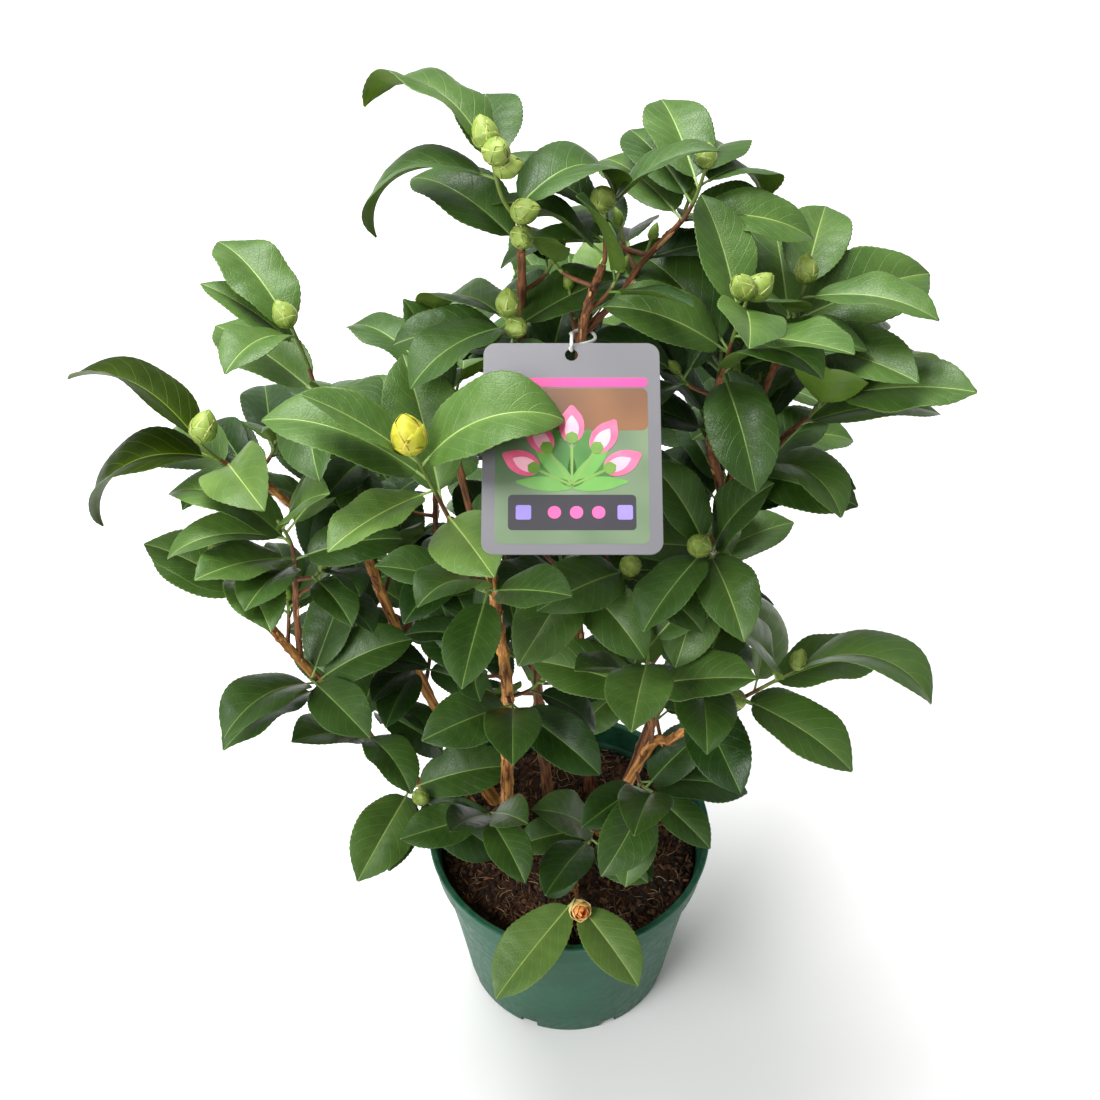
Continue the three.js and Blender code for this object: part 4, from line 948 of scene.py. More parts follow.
def fade(tree, value, low, high):
    """A smooth step from 0 at low to 1 at high."""
    values = {"Value": value, "From Min": low, "From Max": high}
    return add_node(tree, "ShaderNodeMapRange", values, interpolation_type="SMOOTHSTEP").outputs[0]


def between(tree, mask, low, high):
    """A level that runs from low to high as the mask runs from 0 to 1."""
    return add_node(tree, "ShaderNodeMapRange", {"Value": mask, "To Min": low, "To Max": high}).outputs[0]


def new_group(name, inputs, outputs):
    """A shader node group with named sockets, and what goes into it and comes out."""
    group = bpy.data.node_groups.new(name, "ShaderNodeTree")
    for title, kind, value in inputs:
        socket = group.interface.new_socket(name=title, in_out="INPUT", socket_type=kind)
        if value is not None:
            socket.default_value = value
    for title, kind in outputs:
        group.interface.new_socket(name=title, in_out="OUTPUT", socket_type=kind)
    given = group.nodes.new("NodeGroupInput").outputs
    result = group.nodes.new("NodeGroupOutput").inputs
    return group, given, result


def place_group(tree, group, values=None):
    return add_node(tree, "ShaderNodeGroup", values, node_tree=group).outputs


def new_material(name, roughness, specular=0.5):
    material = bpy.data.materials.new(name)
    material.use_nodes = True
    tree = material.node_tree
    shader = tree.nodes["Principled BSDF"]
    shader.inputs["Roughness"].default_value = roughness
    shader.inputs["Specular IOR Level"].default_value = specular
    return material, tree, shader


def bump(tree, shader, height, strength, distance):
    made = add_node(tree, "ShaderNodeBump", {"Height": height, "Strength": strength, "Distance": distance})
    tree.links.new(made.outputs[0], shader.inputs["Normal"])


# Shared effects
mottle, given, result = new_group(
    "Mottled tint",
    [("Low", "NodeSocketColor", (0, 0, 0, 1)), ("High", "NodeSocketColor", (1, 1, 1, 1)),
     ("Scale", "NodeSocketFloat", 50.0), ("Detail", "NodeSocketFloat", 4.0),
     ("Contrast", "NodeSocketFloat", 0.5), ("Stretch", "NodeSocketVector", (1.0, 1.0, 1.0))],
    [("Colour", "NodeSocketColor"), ("Mask", "NodeSocketFloat")])
place = add_node(mottle, "ShaderNodeTexCoord").outputs["Object"]
stretched = add_node(mottle, "ShaderNodeVectorMath", {0: place, 1: given["Stretch"]}, operation="MULTIPLY")
cloud = add_node(mottle, "ShaderNodeTexNoise",
                 {"Vector": stretched.outputs[0], "Scale": given["Scale"], "Detail": given["Detail"]})
half_contrast = maths(mottle, "MULTIPLY", given["Contrast"], 0.5)
mask = add_node(mottle, "ShaderNodeMapRange",
                {"Value": cloud.outputs[0], "From Min": maths(mottle, "SUBTRACT", 0.5, half_contrast),
                 "From Max": maths(mottle, "ADD", 0.5, half_contrast)}).outputs[0]
mottle.links.new(mask, result["Mask"])
mottle.links.new(mix_colours(mottle, mask, given["Low"], given["High"]), result["Colour"])

veins, given, result = new_group(
    "Leaf veins",
    [("Count", "NodeSocketFloat", SIDE_VEINS + 1.0), ("Slant", "NodeSocketFloat", VEIN_SLANT)],
    [("Side veins", "NodeSocketFloat"), ("Fine net", "NodeSocketFloat"), ("Edge", "NodeSocketFloat"),
     ("Near rib", "NodeSocketFloat")])
flat_map = add_node(veins, "ShaderNodeUVMap", uv_map="own_map").outputs[0]
parts = add_node(veins, "ShaderNodeSeparateXYZ", {0: flat_map}).outputs
away = maths(veins, "ABSOLUTE", maths(veins, "SUBTRACT", maths(veins, "MULTIPLY", parts[1], 2.0), 1.0))
slanted = maths(veins, "MULTIPLY", maths(veins, "POWER", away, 1.2), given["Slant"])
phase = maths(veins, "MULTIPLY", maths(veins, "SUBTRACT", parts[0], slanted), given["Count"])
from_vein = maths(veins, "ABSOLUTE", maths(veins, "SUBTRACT", maths(veins, "FRACT", phase), 0.5))
veins.links.new(fade(veins, from_vein, 0.45, 0.5), result["Side veins"])
flat_scaled = add_node(veins, "ShaderNodeVectorMath", {0: flat_map, 1: (2.0, 1.0, 1.0)},
                       operation="MULTIPLY")
cells = add_node(veins, "ShaderNodeTexVoronoi", {"Vector": flat_scaled.outputs[0], "Scale": 17.0},
                 feature="DISTANCE_TO_EDGE")
veins.links.new(fade(veins, cells.outputs[0], 0.12, 0.0), result["Fine net"])
veins.links.new(fade(veins, away, 0.93, 1.0), result["Edge"])
veins.links.new(fade(veins, away, 0.3, 0.0), result["Near rib"])

grain, given, result = new_group(
    "Bark grain",
    [("Light", "NodeSocketColor", (1, 1, 1, 1)), ("Dark", "NodeSocketColor", (0, 0, 0, 1)),
     ("Scale", "NodeSocketFloat", 420.0)],
    [("Colour", "NodeSocketColor"), ("Height", "NodeSocketFloat")])
place = add_node(grain, "ShaderNodeAttribute", attribute_name="grain_place").outputs["Vector"]
strips = add_node(grain, "ShaderNodeTexNoise", {"Vector": place, "Scale": given["Scale"], "Detail": 5.0,
                                                "Roughness": 0.62}).outputs[0]
patches = add_node(grain, "ShaderNodeTexNoise",
                   {"Vector": place, "Scale": maths(grain, "MULTIPLY", given["Scale"], 0.28), "Detail": 2.0})
share = maths(grain, "ADD", maths(grain, "MULTIPLY", fade(grain, strips, 0.4, 0.62), 0.65),
              maths(grain, "MULTIPLY", fade(grain, patches.outputs[0], 0.4, 0.6), 0.35))
grain.links.new(mix_colours(grain, share, given["Dark"], given["Light"]), result["Colour"])
grain.links.new(strips, result["Height"])


# Materials
def mottled(name, low, high, roughness, specular, scale, contrast=0.5, detail=4.0):
    """A material with a mottled tint, and its nodes for more work."""
    material, tree, shader = new_material(name, roughness, specular)
    tint = place_group(tree, mottle, {"Low": colour(low), "High": colour(high), "Scale": scale,
                                      "Contrast": contrast, "Detail": detail})
    tree.links.new(tint["Colour"], shader.inputs["Base Color"])
    return material, tree, shader, tint


def leaf_top(name, low, high, rib, gloss):
    """The blade's glossy upper side."""
    material, tree, shader, tint = mottled(name, low, high, 0.36, gloss, 38.0)
    lines = place_group(tree, veins)
    base = tint["Colour"]
    for line, strength in [("Side veins", 0.28), ("Near rib", 0.14), ("Edge", 0.3)]:
        base = tinted(tree, base, lines[line], strength, colour(rib))
    tree.links.new(base, shader.inputs["Base Color"])
    tree.links.new(between(tree, tint["Mask"], 0.33, 0.46), shader.inputs["Roughness"])
    shader.inputs["Coat Weight"].default_value = gloss * COAT_SHARE
    shader.inputs["Coat Roughness"].default_value = 0.28
    shader.inputs["Specular Tint"].default_value = (0.92, 1, 0.92, 1)
    height = maths(tree, "ADD", maths(tree, "MULTIPLY", lines["Side veins"], -0.6),
                   maths(tree, "MULTIPLY", lines["Fine net"], -0.34))
    bump(tree, shader, height, 0.5, 0.0004)
    return material


def leaf_under(name, low, high, rib):
    """The blade's paler, duller lower side."""
    material, tree, shader, tint = mottled(name, low, high, 0.55, 0.35, 45.0, 0.6)
    lines = place_group(tree, veins)
    tree.links.new(tinted(tree, tint["Colour"], lines["Side veins"], 0.3, colour(rib)),
                   shader.inputs["Base Color"])
    bump(tree, shader, lines["Side veins"], 0.3, 0.0004)
    return material


def plain_growth(name, low, high, roughness=0.5, scale=160.0):
    """Ribs, stalks and bud scales, lightly mottled."""
    material, tree, shader, tint = mottled(name, low, high, roughness, 0.45, scale)
    bump(tree, shader, tint["Mask"], 0.15, 0.0003)
    return material


# Leaf tints: name, the upper side's darker and lighter green, its veins and how strongly it shines,
# then the lower side's darker and lighter green
COAT_SHARE = 0.18
# From deep to young the tints run from dark to light. They are dealt out by a leaf's place in the crown, so
# the darker ones stand partly for painted shade inside the crown and low in it
LEAF_TINTS = [
    ("deep", (17, 38, 9), (30, 55, 16), (62, 92, 34), 0.34, (46, 68, 20), (62, 86, 26)),
    ("dark", (25, 51, 13), (41, 72, 22), (88, 122, 50), 0.38, (60, 86, 22), (80, 106, 32)),
    ("mid", (44, 73, 24), (64, 95, 35), (116, 147, 72), 0.38, (76, 106, 26), (98, 128, 38)),
    ("fresh", (59, 90, 33), (83, 114, 48), (134, 161, 84), 0.38, (90, 120, 26), (114, 144, 42)),
    ("young", (74, 105, 42), (102, 131, 60), (148, 173, 88), 0.38, (106, 134, 32), (134, 160, 54)),
    ("olive", (28, 42, 2), (44, 62, 4), (100, 128, 20), 0.08, (60, 80, 14), (84, 108, 24)),
]
leaf_materials = []
for tint_name, low, high, rib, gloss, under_low, under_high in LEAF_TINTS:
    leaf_materials += [leaf_top(f"leaf_{tint_name}", low, high, rib, gloss),
                       leaf_under(f"leaf_{tint_name}_underside", under_low, under_high, rib),
                       plain_growth(f"leaf_{tint_name}_rib", rib, lighter(rib, 22), 0.42)]

# Bud tints: name, a scale's darker and lighter colour and its pale edge
BUD_TINTS = [("green", (112, 138, 50), (156, 174, 84), (178, 184, 106)),
             ("yellow", (160, 162, 40), (208, 200, 60), (214, 184, 84)),
             ("rosy", (236, 196, 112), (250, 228, 156), (248, 234, 184)),
             ("leaf", (98, 130, 40), (132, 158, 56), (146, 142, 76)),
             ("heart", (242, 134, 66), (253, 182, 100), (253, 214, 140))]
bud_materials = []
for tint_name, low, high, edge in BUD_TINTS:
    bud_materials += [plain_growth(f"bud_{tint_name}", low, high, 0.5, 260.0),
                      plain_growth(f"bud_{tint_name}_edge", edge, lighter(edge, 14), 0.6)]
# Where each bud's finish stands in that list
GREEN_BUD, YELLOW_BUD, ROSY_BUD, LEAF_BUD, BUD_HEART = range(0, 10, 2)


def bark(name, light, dark, scale, depth):
    material, tree, shader = new_material(name, 0.78, 0.3)
    lines = place_group(tree, grain, {"Light": colour(light), "Dark": colour(dark), "Scale": scale})
    tree.links.new(lines["Colour"], shader.inputs["Base Color"])
    bump(tree, shader, lines["Height"], 0.7, depth)
    return material


orange_bark = bark("bark_orange_brown", (232, 166, 90), (106, 61, 29), 620.0, 0.0009)
brown_bark = bark("bark_brown", (150, 98, 62), (62, 38, 24), 680.0, 0.0007)
twig_brown = plain_growth("twig_reddish_brown", (96, 58, 36), (132, 84, 52), 0.62, 240.0)
twig_green = plain_growth("twig_green", (96, 116, 50), (124, 140, 66), 0.55, 240.0)


def assign(piece, *materials):
    piece.data.materials.clear()
    for material in materials:
        piece.data.materials.append(material)


def finish_piece(piece, slot, *nodes):
    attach(piece, "root")
    if nodes:
        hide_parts(*nodes)
    return piece


# Foliage
FOLIAGE = {
    "foliage_top": ["leaves_top_left", "leaves_top_right", "leaves_centre_top", "leaves_centre_back",
                    "leaves_right_upper", "leaves_right_back"],
    "foliage_right": ["leaves_right", "leaves_right_fork", "leaves_right_middle", "leaves_inner_right",
                      "leaves_back_right", "leaves_back_low_right", "leaves_low_right",
                      "leaves_low_right_inner"],
    "foliage_left": ["leaves_left_top", "leaves_far_left", "leaves_left_upper", "leaves_left_low",
                     "leaves_left_stem", "leaves_left_low_stem", "leaves_back_left", "leaves_inner_left",
                     "leaves_inner_low_left"],
    "foliage_front": ["leaves_front", "leaves_front_fork", "leaves_front_stem", "leaves_front_foot",
                      "leaves_left_foot", "leaves_inner_front", "leaves_low_right_upper", "leaves_low_centre",
                      "leaves_low_front_right", "leaves_low_front", "leaves_back", "leaves_back_low_left",
                      "leaves_inner_low_centre", "leaves_inner_low_right"],
}

# Shoots whose leaves get lighter tints than their place in the crown gives them, and by how many tints
LIGHTER_TINT_SHOOTS = {"leaves_low_front": 3, "leaves_low_right_upper": 1, "leaves_front": 1,
                "leaves_low_right": 1}

# Two of the tints by their place in the list. The olive one is for leaves that stand in their own shade
YOUNG_TINT = 4
OLIVE_TINT = 5
OLIVE_LEAVES = {"leaves_far_left": [0, 1]}

# Leaves left out where the crown is open to the sky or the pot shows
LEFT_OUT = {"leaves_back_left": [7], "leaves_far_left": [4], "leaves_left_low": [2],
            "leaves_left_stem": [4], "leaves_low_right": [4], "leaves_low_front": [2], "leaves_right": [5],
            "leaves_right_fork": [1], "leaves_left_foot": [3]}

# How far the crown reaches out, where it begins and how high it rises from there
CROWN_REACH = 150
CROWN_FOOT = 330
CROWN_RISE = 260


def tint_of(leaf, chance):
    """Leaves high up and at the crown's outside get lighter tints than those inside it and low down. This is
    partly real, as the younger leaves stand at the shoots' ends, and partly painted shade, which darkens the
    leaves inside the crown and low in it.
    """
    at = leaf["at"] + leaf["out"] * leaf["length"] * 0.5
    outside = math.hypot(at[0], at[1]) / CROWN_REACH
    # Painted shade: the level, and so the tint, falls lower in the crown and towards its inside
    level = 0.65 * (at[2] - CROWN_FOOT) / CROWN_RISE + 0.8 * (outside - 0.6) + chance.normal(0, 0.5) + 1.85
    return int(min(YOUNG_TINT, max(0, round(level))))


for piece_name, shoot_names in FOLIAGE.items():
    heap = Heap()
    for shoot_name in shoot_names:
        chance = np.random.default_rng(sum(ord(letter) for letter in shoot_name))
        for k, leaf in enumerate(GROWTH[shoot_name]["leaves"]):
            if k in LEFT_OUT.get(shoot_name, []):
                continue
            rings, patch = leaf_rings(leaf, chance)
            tint = min(YOUNG_TINT, tint_of(leaf, chance) + LIGHTER_TINT_SHOOTS.get(shoot_name, 0))
            if k in OLIVE_LEAVES.get(shoot_name, []):
                tint = OLIVE_TINT
            heap.add(rings, leaf_finishes(tint), patch)
    finish_piece(heap.piece(piece_name, leaf_materials), "foliage", *shoot_names)

inner_chance = np.random.default_rng(77)
for half, piece_name in enumerate(["foliage_inner_front", "foliage_inner_back"]):
    inner_heap = Heap()
    for growth in FINE_GROWTH[half::2]:
        for leaf in growth["leaves"]:
            rings, patch = leaf_rings(leaf, inner_chance)
            # Painted shade: the leaves of the fine twigs inside the crown are dealt one tint darker still
            inner_heap.add(rings, leaf_finishes(max(0, tint_of(leaf, inner_chance) - 1)), patch)
    finish_piece(inner_heap.piece(piece_name, leaf_materials), "foliage")

# Buds: which finish a shoot's flower buds have, and how far they open
BUD_FINISHES = {"leaves_front": (YELLOW_BUD, 1.4), "leaves_inner_left": (ROSY_BUD, 1.6)}
OPENING_BUD_SHOOT = "leaves_low_front"
OPENING_BUD_SIZE = 1.05
bud_heap = Heap()
for growth in FINE_GROWTH:
    add_leaf_bud(bud_heap, growth["buds"][0])
for shoot_name, growth in GROWTH.items():
    for bud in growth["buds"]:
        if bud["kind"] == "leaf":
            add_leaf_bud(bud_heap, bud)
        elif shoot_name == OPENING_BUD_SHOOT:
            add_opening_bud(bud_heap, dict(bud, radius=bud["radius"] * OPENING_BUD_SIZE))
        else:
            add_flower_bud(bud_heap, bud, *BUD_FINISHES.get(shoot_name, (GREEN_BUD, 1.0)))
finish_piece(bud_heap.piece("buds", bud_materials), "foliage")

# Twigs
twig_heap = Heap()
for growth in [*GROWTH.values(), *FINE_GROWTH]:
    for twig in growth["twigs"]:
        rings, share = twig_rings(twig)
        twig_heap.add(rings, np.where(share[:-1] > 0.55, 1, 0)[:, None])
finish_piece(twig_heap.piece("twigs", [twig_brown, twig_green]), "young_bark")


# The grain runs long: heights count for less than the way round, and each limb has its own stretch of grain
GRAIN_STRETCH = 0.09
GRAIN_GAP = 50


def bark_piece(name, rows, material):
    """Joined limbs, with each point's place in the bark's grain kept as an attribute."""
    heap = Heap()
    places = []
    for seed, row in enumerate(rows):
        rings, share, run = bark_rings(row, seed + 1)
        heap.add(rings, 0)
        radius = limb_radius(row, share)[:, None]
        height = share * run * GRAIN_STRETCH + GRAIN_GAP * seed
        place = np.stack([radius * np.cos(STEM_TURNS), radius * np.sin(STEM_TURNS),
                          np.broadcast_to(height[:, None], (len(share), STEM_SIDES))], axis=-1)
        places.append(place.reshape(-1, 3) * METRE)
    made = heap.piece(name, [material])
    layer = made.data.attributes.new("grain_place", "FLOAT_VECTOR", "POINT")
    layer.data.foreach_set("vector", np.concatenate(places).ravel())
    return made


# Stems and boughs: orange-brown bark on the stems that stand in the light, darker bark on the others
ORANGE_STEMS = ["stem_front_left", "stem_left", "stem_mid_left", "stem_low_right", "stem_low_front"]
BARK_PIECES = [
    ("stems_orange", [row for row in LIMBS if row["name"] in ORANGE_STEMS], orange_bark, "bark"),
    ("stems_brown", [row for row in LIMBS if not row["base"] and row["name"] not in ORANGE_STEMS],
     brown_bark, "bark"),
    ("boughs", [row for row in LIMBS if row["base"]], brown_bark, "young_bark"),
]
for piece_name, rows, material, slot in BARK_PIECES:
    finish_piece(bark_piece(piece_name, rows, material), slot, *[row["name"] for row in rows])


def flake_rings(row, chance):
    """A thin strip of bark that has come loose at its upper end."""
    points = curves[row["name"]]
    share = chance.uniform(0.04, 0.86)
    run = run_length(points, 12)
    reach = chance.uniform(4, 12) / run
    wide = chance.uniform(0.5, 1.15)
    turn = chance.uniform(0, 2 * math.pi)
    lift = chance.uniform(0.15, 1.1)
    shares = np.linspace(share, min(0.98, share + reach), 6)
    places, side, other = frames_on(points, shares)
    radius = limb_radius(row, shares) + 0.2
    rings = []
    for k in range(6):
        out = side[k] * math.cos(turn) + other[k] * math.sin(turn)
        over = -side[k] * math.sin(turn) + other[k] * math.cos(turn)
        width = wide * (1.0 if 0 < k < 5 else 0.45)
        away = radius[k] + lift * (k / 5) ** 2
        middle = places[k] + out * away
        rings.append([middle - over * width, middle - over * width * 0.6 + out * 0.22,
                      middle + over * width * 0.6 + out * 0.22, middle + over * width])
    return np.array(rings)


# Flakes for each millimetre of a limb
ORANGE_FLAKES = 0.22
BROWN_FLAKES = 0.08
flake_heap = Heap()
flake_chance = np.random.default_rng(31)
for row in LIMBS:
    flakes = ORANGE_FLAKES if row["name"] in ORANGE_STEMS else BROWN_FLAKES
    for _ in range(int(run_length(curves[row["name"]], 12) * flakes)):
        flake_heap.add(flake_rings(row, flake_chance), int(flake_chance.integers(0, 2)))
flake_pale = plain_growth("flake_pale", (186, 132, 82), (212, 164, 112), 0.8, 420.0)
flake_brown = plain_growth("flake_brown", (122, 76, 44), (160, 104, 62), 0.8, 420.0)
finish_piece(flake_heap.piece("bark_flakes", [flake_pale, flake_brown]), "bark")


# Modelling steps that several pieces share
def clear_selection():
    bpy.ops.object.select_all(action="DESELECT")


def select_only(*pieces):
    clear_selection()
    for piece in pieces:
        piece.select_set(True)
    bpy.context.view_layer.objects.active = pieces[0]


def just_added(name):
    """The primitive that was added last, under its own name."""
    made = bpy.context.object
    made.name = name
    made.data.name = name
    return made


def edit_all():
    bpy.ops.object.mode_set(mode="EDIT")
    bpy.ops.mesh.select_all(action="SELECT")


def close_edit():
    """Faces the shape outwards and leaves edit mode."""
    bpy.ops.mesh.select_all(action="SELECT")
    bpy.ops.mesh.normals_make_consistent(inside=False)
    bpy.ops.object.mode_set(mode="OBJECT")


def settle():
    """Puts the piece's place, turn and size in its mesh."""
    bpy.ops.object.transform_apply(location=True, rotation=True, scale=True)


def apply_modifier(piece, title, kind, **settings):
    bpy.context.view_layer.objects.active = piece
    modifier = piece.modifiers.new(title, kind)
    for key, value in settings.items():
        setattr(modifier, key, value)
    bpy.ops.object.modifier_apply(modifier=modifier.name)


def cut_away(piece, title, cutter):
    apply_modifier(piece, title, "BOOLEAN", object=cutter, operation="DIFFERENCE", solver="EXACT")
    bpy.data.objects.remove(cutter)


# Pot and potting mix, turned from a circle by extruding and sizing its edge
def turned(name, outline, sides):
    """A round shape: a circle is extruded ring by ring up the outline and closed at both ends."""
    clear_selection()
    radius, height = outline[0]
    bpy.ops.mesh.primitive_circle_add(vertices=sides, radius=radius * METRE, fill_type="TRIFAN",
                                      location=(0, 0, height * METRE))
    made = just_added(name)
    bpy.ops.object.mode_set(mode="EDIT")
    bpy.ops.mesh.select_all(action="DESELECT")
    bpy.ops.mesh.select_mode(type="EDGE")
    bpy.ops.mesh.select_non_manifold(extend=False)
    for next_radius, next_height in outline[1:]:
        bpy.ops.mesh.extrude_edges_move(
            TRANSFORM_OT_translate={"value": (0, 0, (next_height - height) * METRE)})
        bpy.ops.transform.resize(value=(next_radius / radius, next_radius / radius, 1),
                                 center_override=(0, 0, next_height * METRE))
        radius, height = next_radius, next_height
    bpy.ops.mesh.edge_face_add()
    close_edit()
    settle()
    return made


# Radius and height, from the underside's middle up the outside and down the inside
POT_OUTLINE = [(30, 0), (70, 0), (71.4, 0.6), (72, 2), (74.6, 24), (79.5, 62), (84.2, 95), (88.5, 126),
               (91.3, 127.1), (92, 128), (93.5, 146), (94.7, 146.4), (95, 147), (95, 149), (94.3, 150),
               (91.6, 150), (90.7, 149.2), (90.1, 146), (90, 128), (87.6, 126), (86.8, 124.5), (81, 82),
               (75, 38), (70.3, 4), (69.6, 3), (30, 3)]
DRAIN_SLOTS = 8
SLOT_RADIUS = 70.5
SLOT_HEIGHT = 3
SLOT_SIZE = (14, 12, 9)
pot = turned("pot_shell", POT_OUTLINE, 144)
finish_piece(pot, "pot", "pot")
for k in range(DRAIN_SLOTS):
    clear_selection()
    turn = 2 * math.pi * (k + 0.5) / DRAIN_SLOTS
    middle = (SLOT_RADIUS * math.cos(turn), SLOT_RADIUS * math.sin(turn), SLOT_HEIGHT)
    bpy.ops.mesh.primitive_cube_add(size=METRE, location=[level * METRE for level in middle],
                                    rotation=(0, 0, turn), scale=SLOT_SIZE)
    cut_away(pot, "drain_slot", bpy.context.object)
pot_green, tree, shader, tint = mottled("pot_green_plastic", (20, 69, 50), (32, 90, 66), roughness=0.48,
                                        specular=0.16, scale=26.0, contrast=0.7)
dust = place_group(tree, mottle, {"Scale": 190.0, "Contrast": 0.22, "Detail": 8.0})["Mask"]
dusty = tinted(tree, tint["Colour"], dust, 0.1, colour((120, 140, 120)))
tree.links.new(dusty, shader.inputs["Base Color"])
tree.links.new(between(tree, dust, 0.36, 0.52), shader.inputs["Roughness"])
bump(tree, shader, dust, 0.03, 0.0002)
assign(pot, pot_green)
select_only(pot)
bpy.ops.object.shade_smooth_by_angle(angle=math.radians(32))

MIX_OUTLINE = [(12, 4), (69, 4), (85.6, 122), (85.8, 125), (84.5, 126.5), (81, 128), (76, 130), (70, 131.2),
               (62, 131.8), (54, 132), (45, 132.2), (36, 132), (27, 132.4), (19, 132.2), (12, 132.4)]
# The mix's lumps: name, size and height in metres. They stay off its sides, in millimetres
LUMPS = [("coarse_lumps", 0.014, 0.0036), ("middle_lumps", 0.0052, 0.0026), ("fine_lumps", 0.0021, 0.0013)]
LUMPS_ABOVE = 127
LUMPS_WITHIN = 83.5


def is_open(place):
    """Whether a place on the mix lies on its open top."""
    return place.z > LUMPS_ABOVE * METRE and math.hypot(place.x, place.y) < LUMPS_WITHIN * METRE


def relief_texture(title, size):
    texture = bpy.data.textures.new(title, "CLOUDS")
    texture.noise_scale = size
    texture.noise_depth = 2
    return texture


mix = turned("potting_mix_bed", MIX_OUTLINE, 64)
apply_modifier(mix, "finer", "SUBSURF", subdivision_type="SIMPLE", levels=2, render_levels=2)
top = mix.vertex_groups.new(name="open_top")
top.add([corner.index for corner in mix.data.vertices if is_open(corner.co)], 1.0, "REPLACE")
for title, size, strength in LUMPS:
    apply_modifier(mix, title, "DISPLACE", texture=relief_texture(title, size), strength=strength,
                   mid_level=0.5, vertex_group="open_top", texture_coords="LOCAL")
finish_piece(mix, "potting_mix", "potting_mix")
soil, tree, shader, tint = mottled("potting_mix_brown", (22, 12, 8), (82, 53, 36), roughness=0.92,
                                   specular=0.2, scale=260.0, contrast=0.42, detail=8.0)
bump(tree, shader, tint["Mask"], 0.8, 0.0012)
assign(mix, soil)


# Loose stuff on the mix: crumbs, chips of bark and pale fibres
MIX_REACH = 84
MIX_TOP = 131.6
MIX_FLAT_REACH = 72
MIX_SLOPE = 0.36


def spot(chance):
    """A place on the open mix, in millimetres."""
    radius = MIX_REACH * math.sqrt(chance.uniform(0, 1))
    turn = chance.uniform(0, 2 * math.pi)
    return radius * math.cos(turn), radius * math.sin(turn)


def ground_height(x, y):
    """The mix is level to near its edge and slopes down from there."""
    return MIX_TOP - max(0, math.hypot(x, y) - MIX_FLAT_REACH) * MIX_SLOPE


def crumb_rings(chance, x, y):
    """A small lump with five sides and an uneven skin."""
    size = chance.uniform(0.7, 2.6)
    middle = np.array([x, y, ground_height(x, y) + size * chance.uniform(-0.1, 0.5)])
    heights = np.array([-0.8, -0.1, 0.55, 0.85]) * size * chance.uniform(0.5, 0.9)
    radii = np.array([0.45, 1.0, 0.8, 0.25])[:, None] * size * chance.uniform(0.75, 1.2, (4, 5))
    turn = 2 * np.pi * np.arange(5) / 5 + chance.uniform(0, 1.2)
    lean = chance.uniform(-0.3, 0.3, 2)
    rings = np.empty((4, 5, 3))
    rings[..., 0] = radii * np.cos(turn) + heights[:, None] * lean[0]
    rings[..., 1] = radii * np.sin(turn) + heights[:, None] * lean[1]
    rings[..., 2] = heights[:, None]
    return middle + rings


def fibre_rings(chance, x, y):
    """A curled strand that lies on the mix."""
    run = chance.uniform(4, 12)
    bearing = chance.uniform(0, 2 * math.pi)
    bend = chance.uniform(-0.9, 0.9)
    points = []
    for k in range(5):
        turn = bearing + bend * k / 4
        step = run * k / 4
        px = x + step * math.cos(turn)
        py = y + step * math.sin(turn)
        reach = math.hypot(px, py)
        if reach > MIX_REACH:
            px, py = px * MIX_REACH / reach, py * MIX_REACH / reach
        points.append(np.array([px, py, ground_height(px, py) + 1.0 + chance.uniform(-0.3, 1.5)]))
    width = chance.uniform(0.14, 0.36)
    return tube_rings(points, np.linspace(0, 1, 8), np.array([0.5, 0.9, 1, 1, 1, 0.9, 0.8, 0.4]) * width, 4)


def chip_rings(chance, x, y):
    """A flat splinter of bark."""
    bearing = chance.uniform(0, 360)
    along_way = heading_of(bearing, chance.uniform(-16, 16))
    over = unit(np.cross(along_way, UP))
    up = np.cross(over, along_way)
    length = chance.uniform(2.2, 7)
    width = length * chance.uniform(0.22, 0.5)
    thick = chance.uniform(0.5, 1.3)
    rings = []
    for share, wide in [(-0.5, 0.35), (-0.3, 0.9), (0.25, 1.0), (0.5, 0.3)]:
        half = width * wide * chance.uniform(0.75, 1.1) / 2
        middle = np.array([x, y, ground_height(x, y) + 1.4]) + along_way * length * share
        corners = [(-half, 0), (-half * 0.7, thick), (half * 0.7, thick), (half, 0)]
        rings.append([middle + over * a + up * b for a, b in corners])
    return np.array(rings)


# Each kind: its piece, the shape of one, how many and the seed, then for each finish its name, its darker
# and lighter colour and its share of the pieces, and last the finishes' roughness and grain
LOOSE_KINDS = [
    ("mix_crumbs", crumb_rings, 2300, 11, [("crumb_dark", (24, 14, 9), (48, 32, 23), 2),
                                           ("crumb_brown", (60, 38, 26), (102, 70, 48), 1)], 0.95, 900.0),
    ("mix_fibres", fibre_rings, 620, 12, [("fibre_pale", (126, 104, 80), (178, 152, 118), 1),
                                          ("fibre_brown", (84, 58, 38), (122, 88, 60), 2)], 0.85, 500.0),
    ("mix_bark_chips", chip_rings, 190, 13, [("chip_orange", (104, 62, 36), (146, 94, 58), 1),
                                             ("chip_brown", (66, 38, 24), (100, 62, 40), 2)], 0.85, 500.0),
]
for name, rings_of, count, seed, finishes, roughness, scale in LOOSE_KINDS:
    materials = []
    for finish, low, high, share in finishes:
        materials += [plain_growth(finish, low, high, roughness, scale)] * share
    chance = np.random.default_rng(seed)
    heap = Heap()
    for _ in range(count):
        x, y = spot(chance)
        heap.add(rings_of(chance, x, y), int(chance.integers(0, len(materials))))
    finish_piece(heap.piece(name, materials), "potting_mix", "potting_mix")

# The label: a card with a thin printed picture of plain shapes, made flat and then leaned into place
CARD_THICKNESS = 0.9
CARD_FLOOR = 0.05
CARD_CORNER = 6
HOLE_RADIUS = 3
HOLE_DOWN = 6
FACE = CARD_FLOOR + CARD_THICKNESS
PRINT_THICKNESS = 0.05
PICTURE_WIDTH = 70
PANEL_MIDDLE = -84
DROP_POINT = 0.22


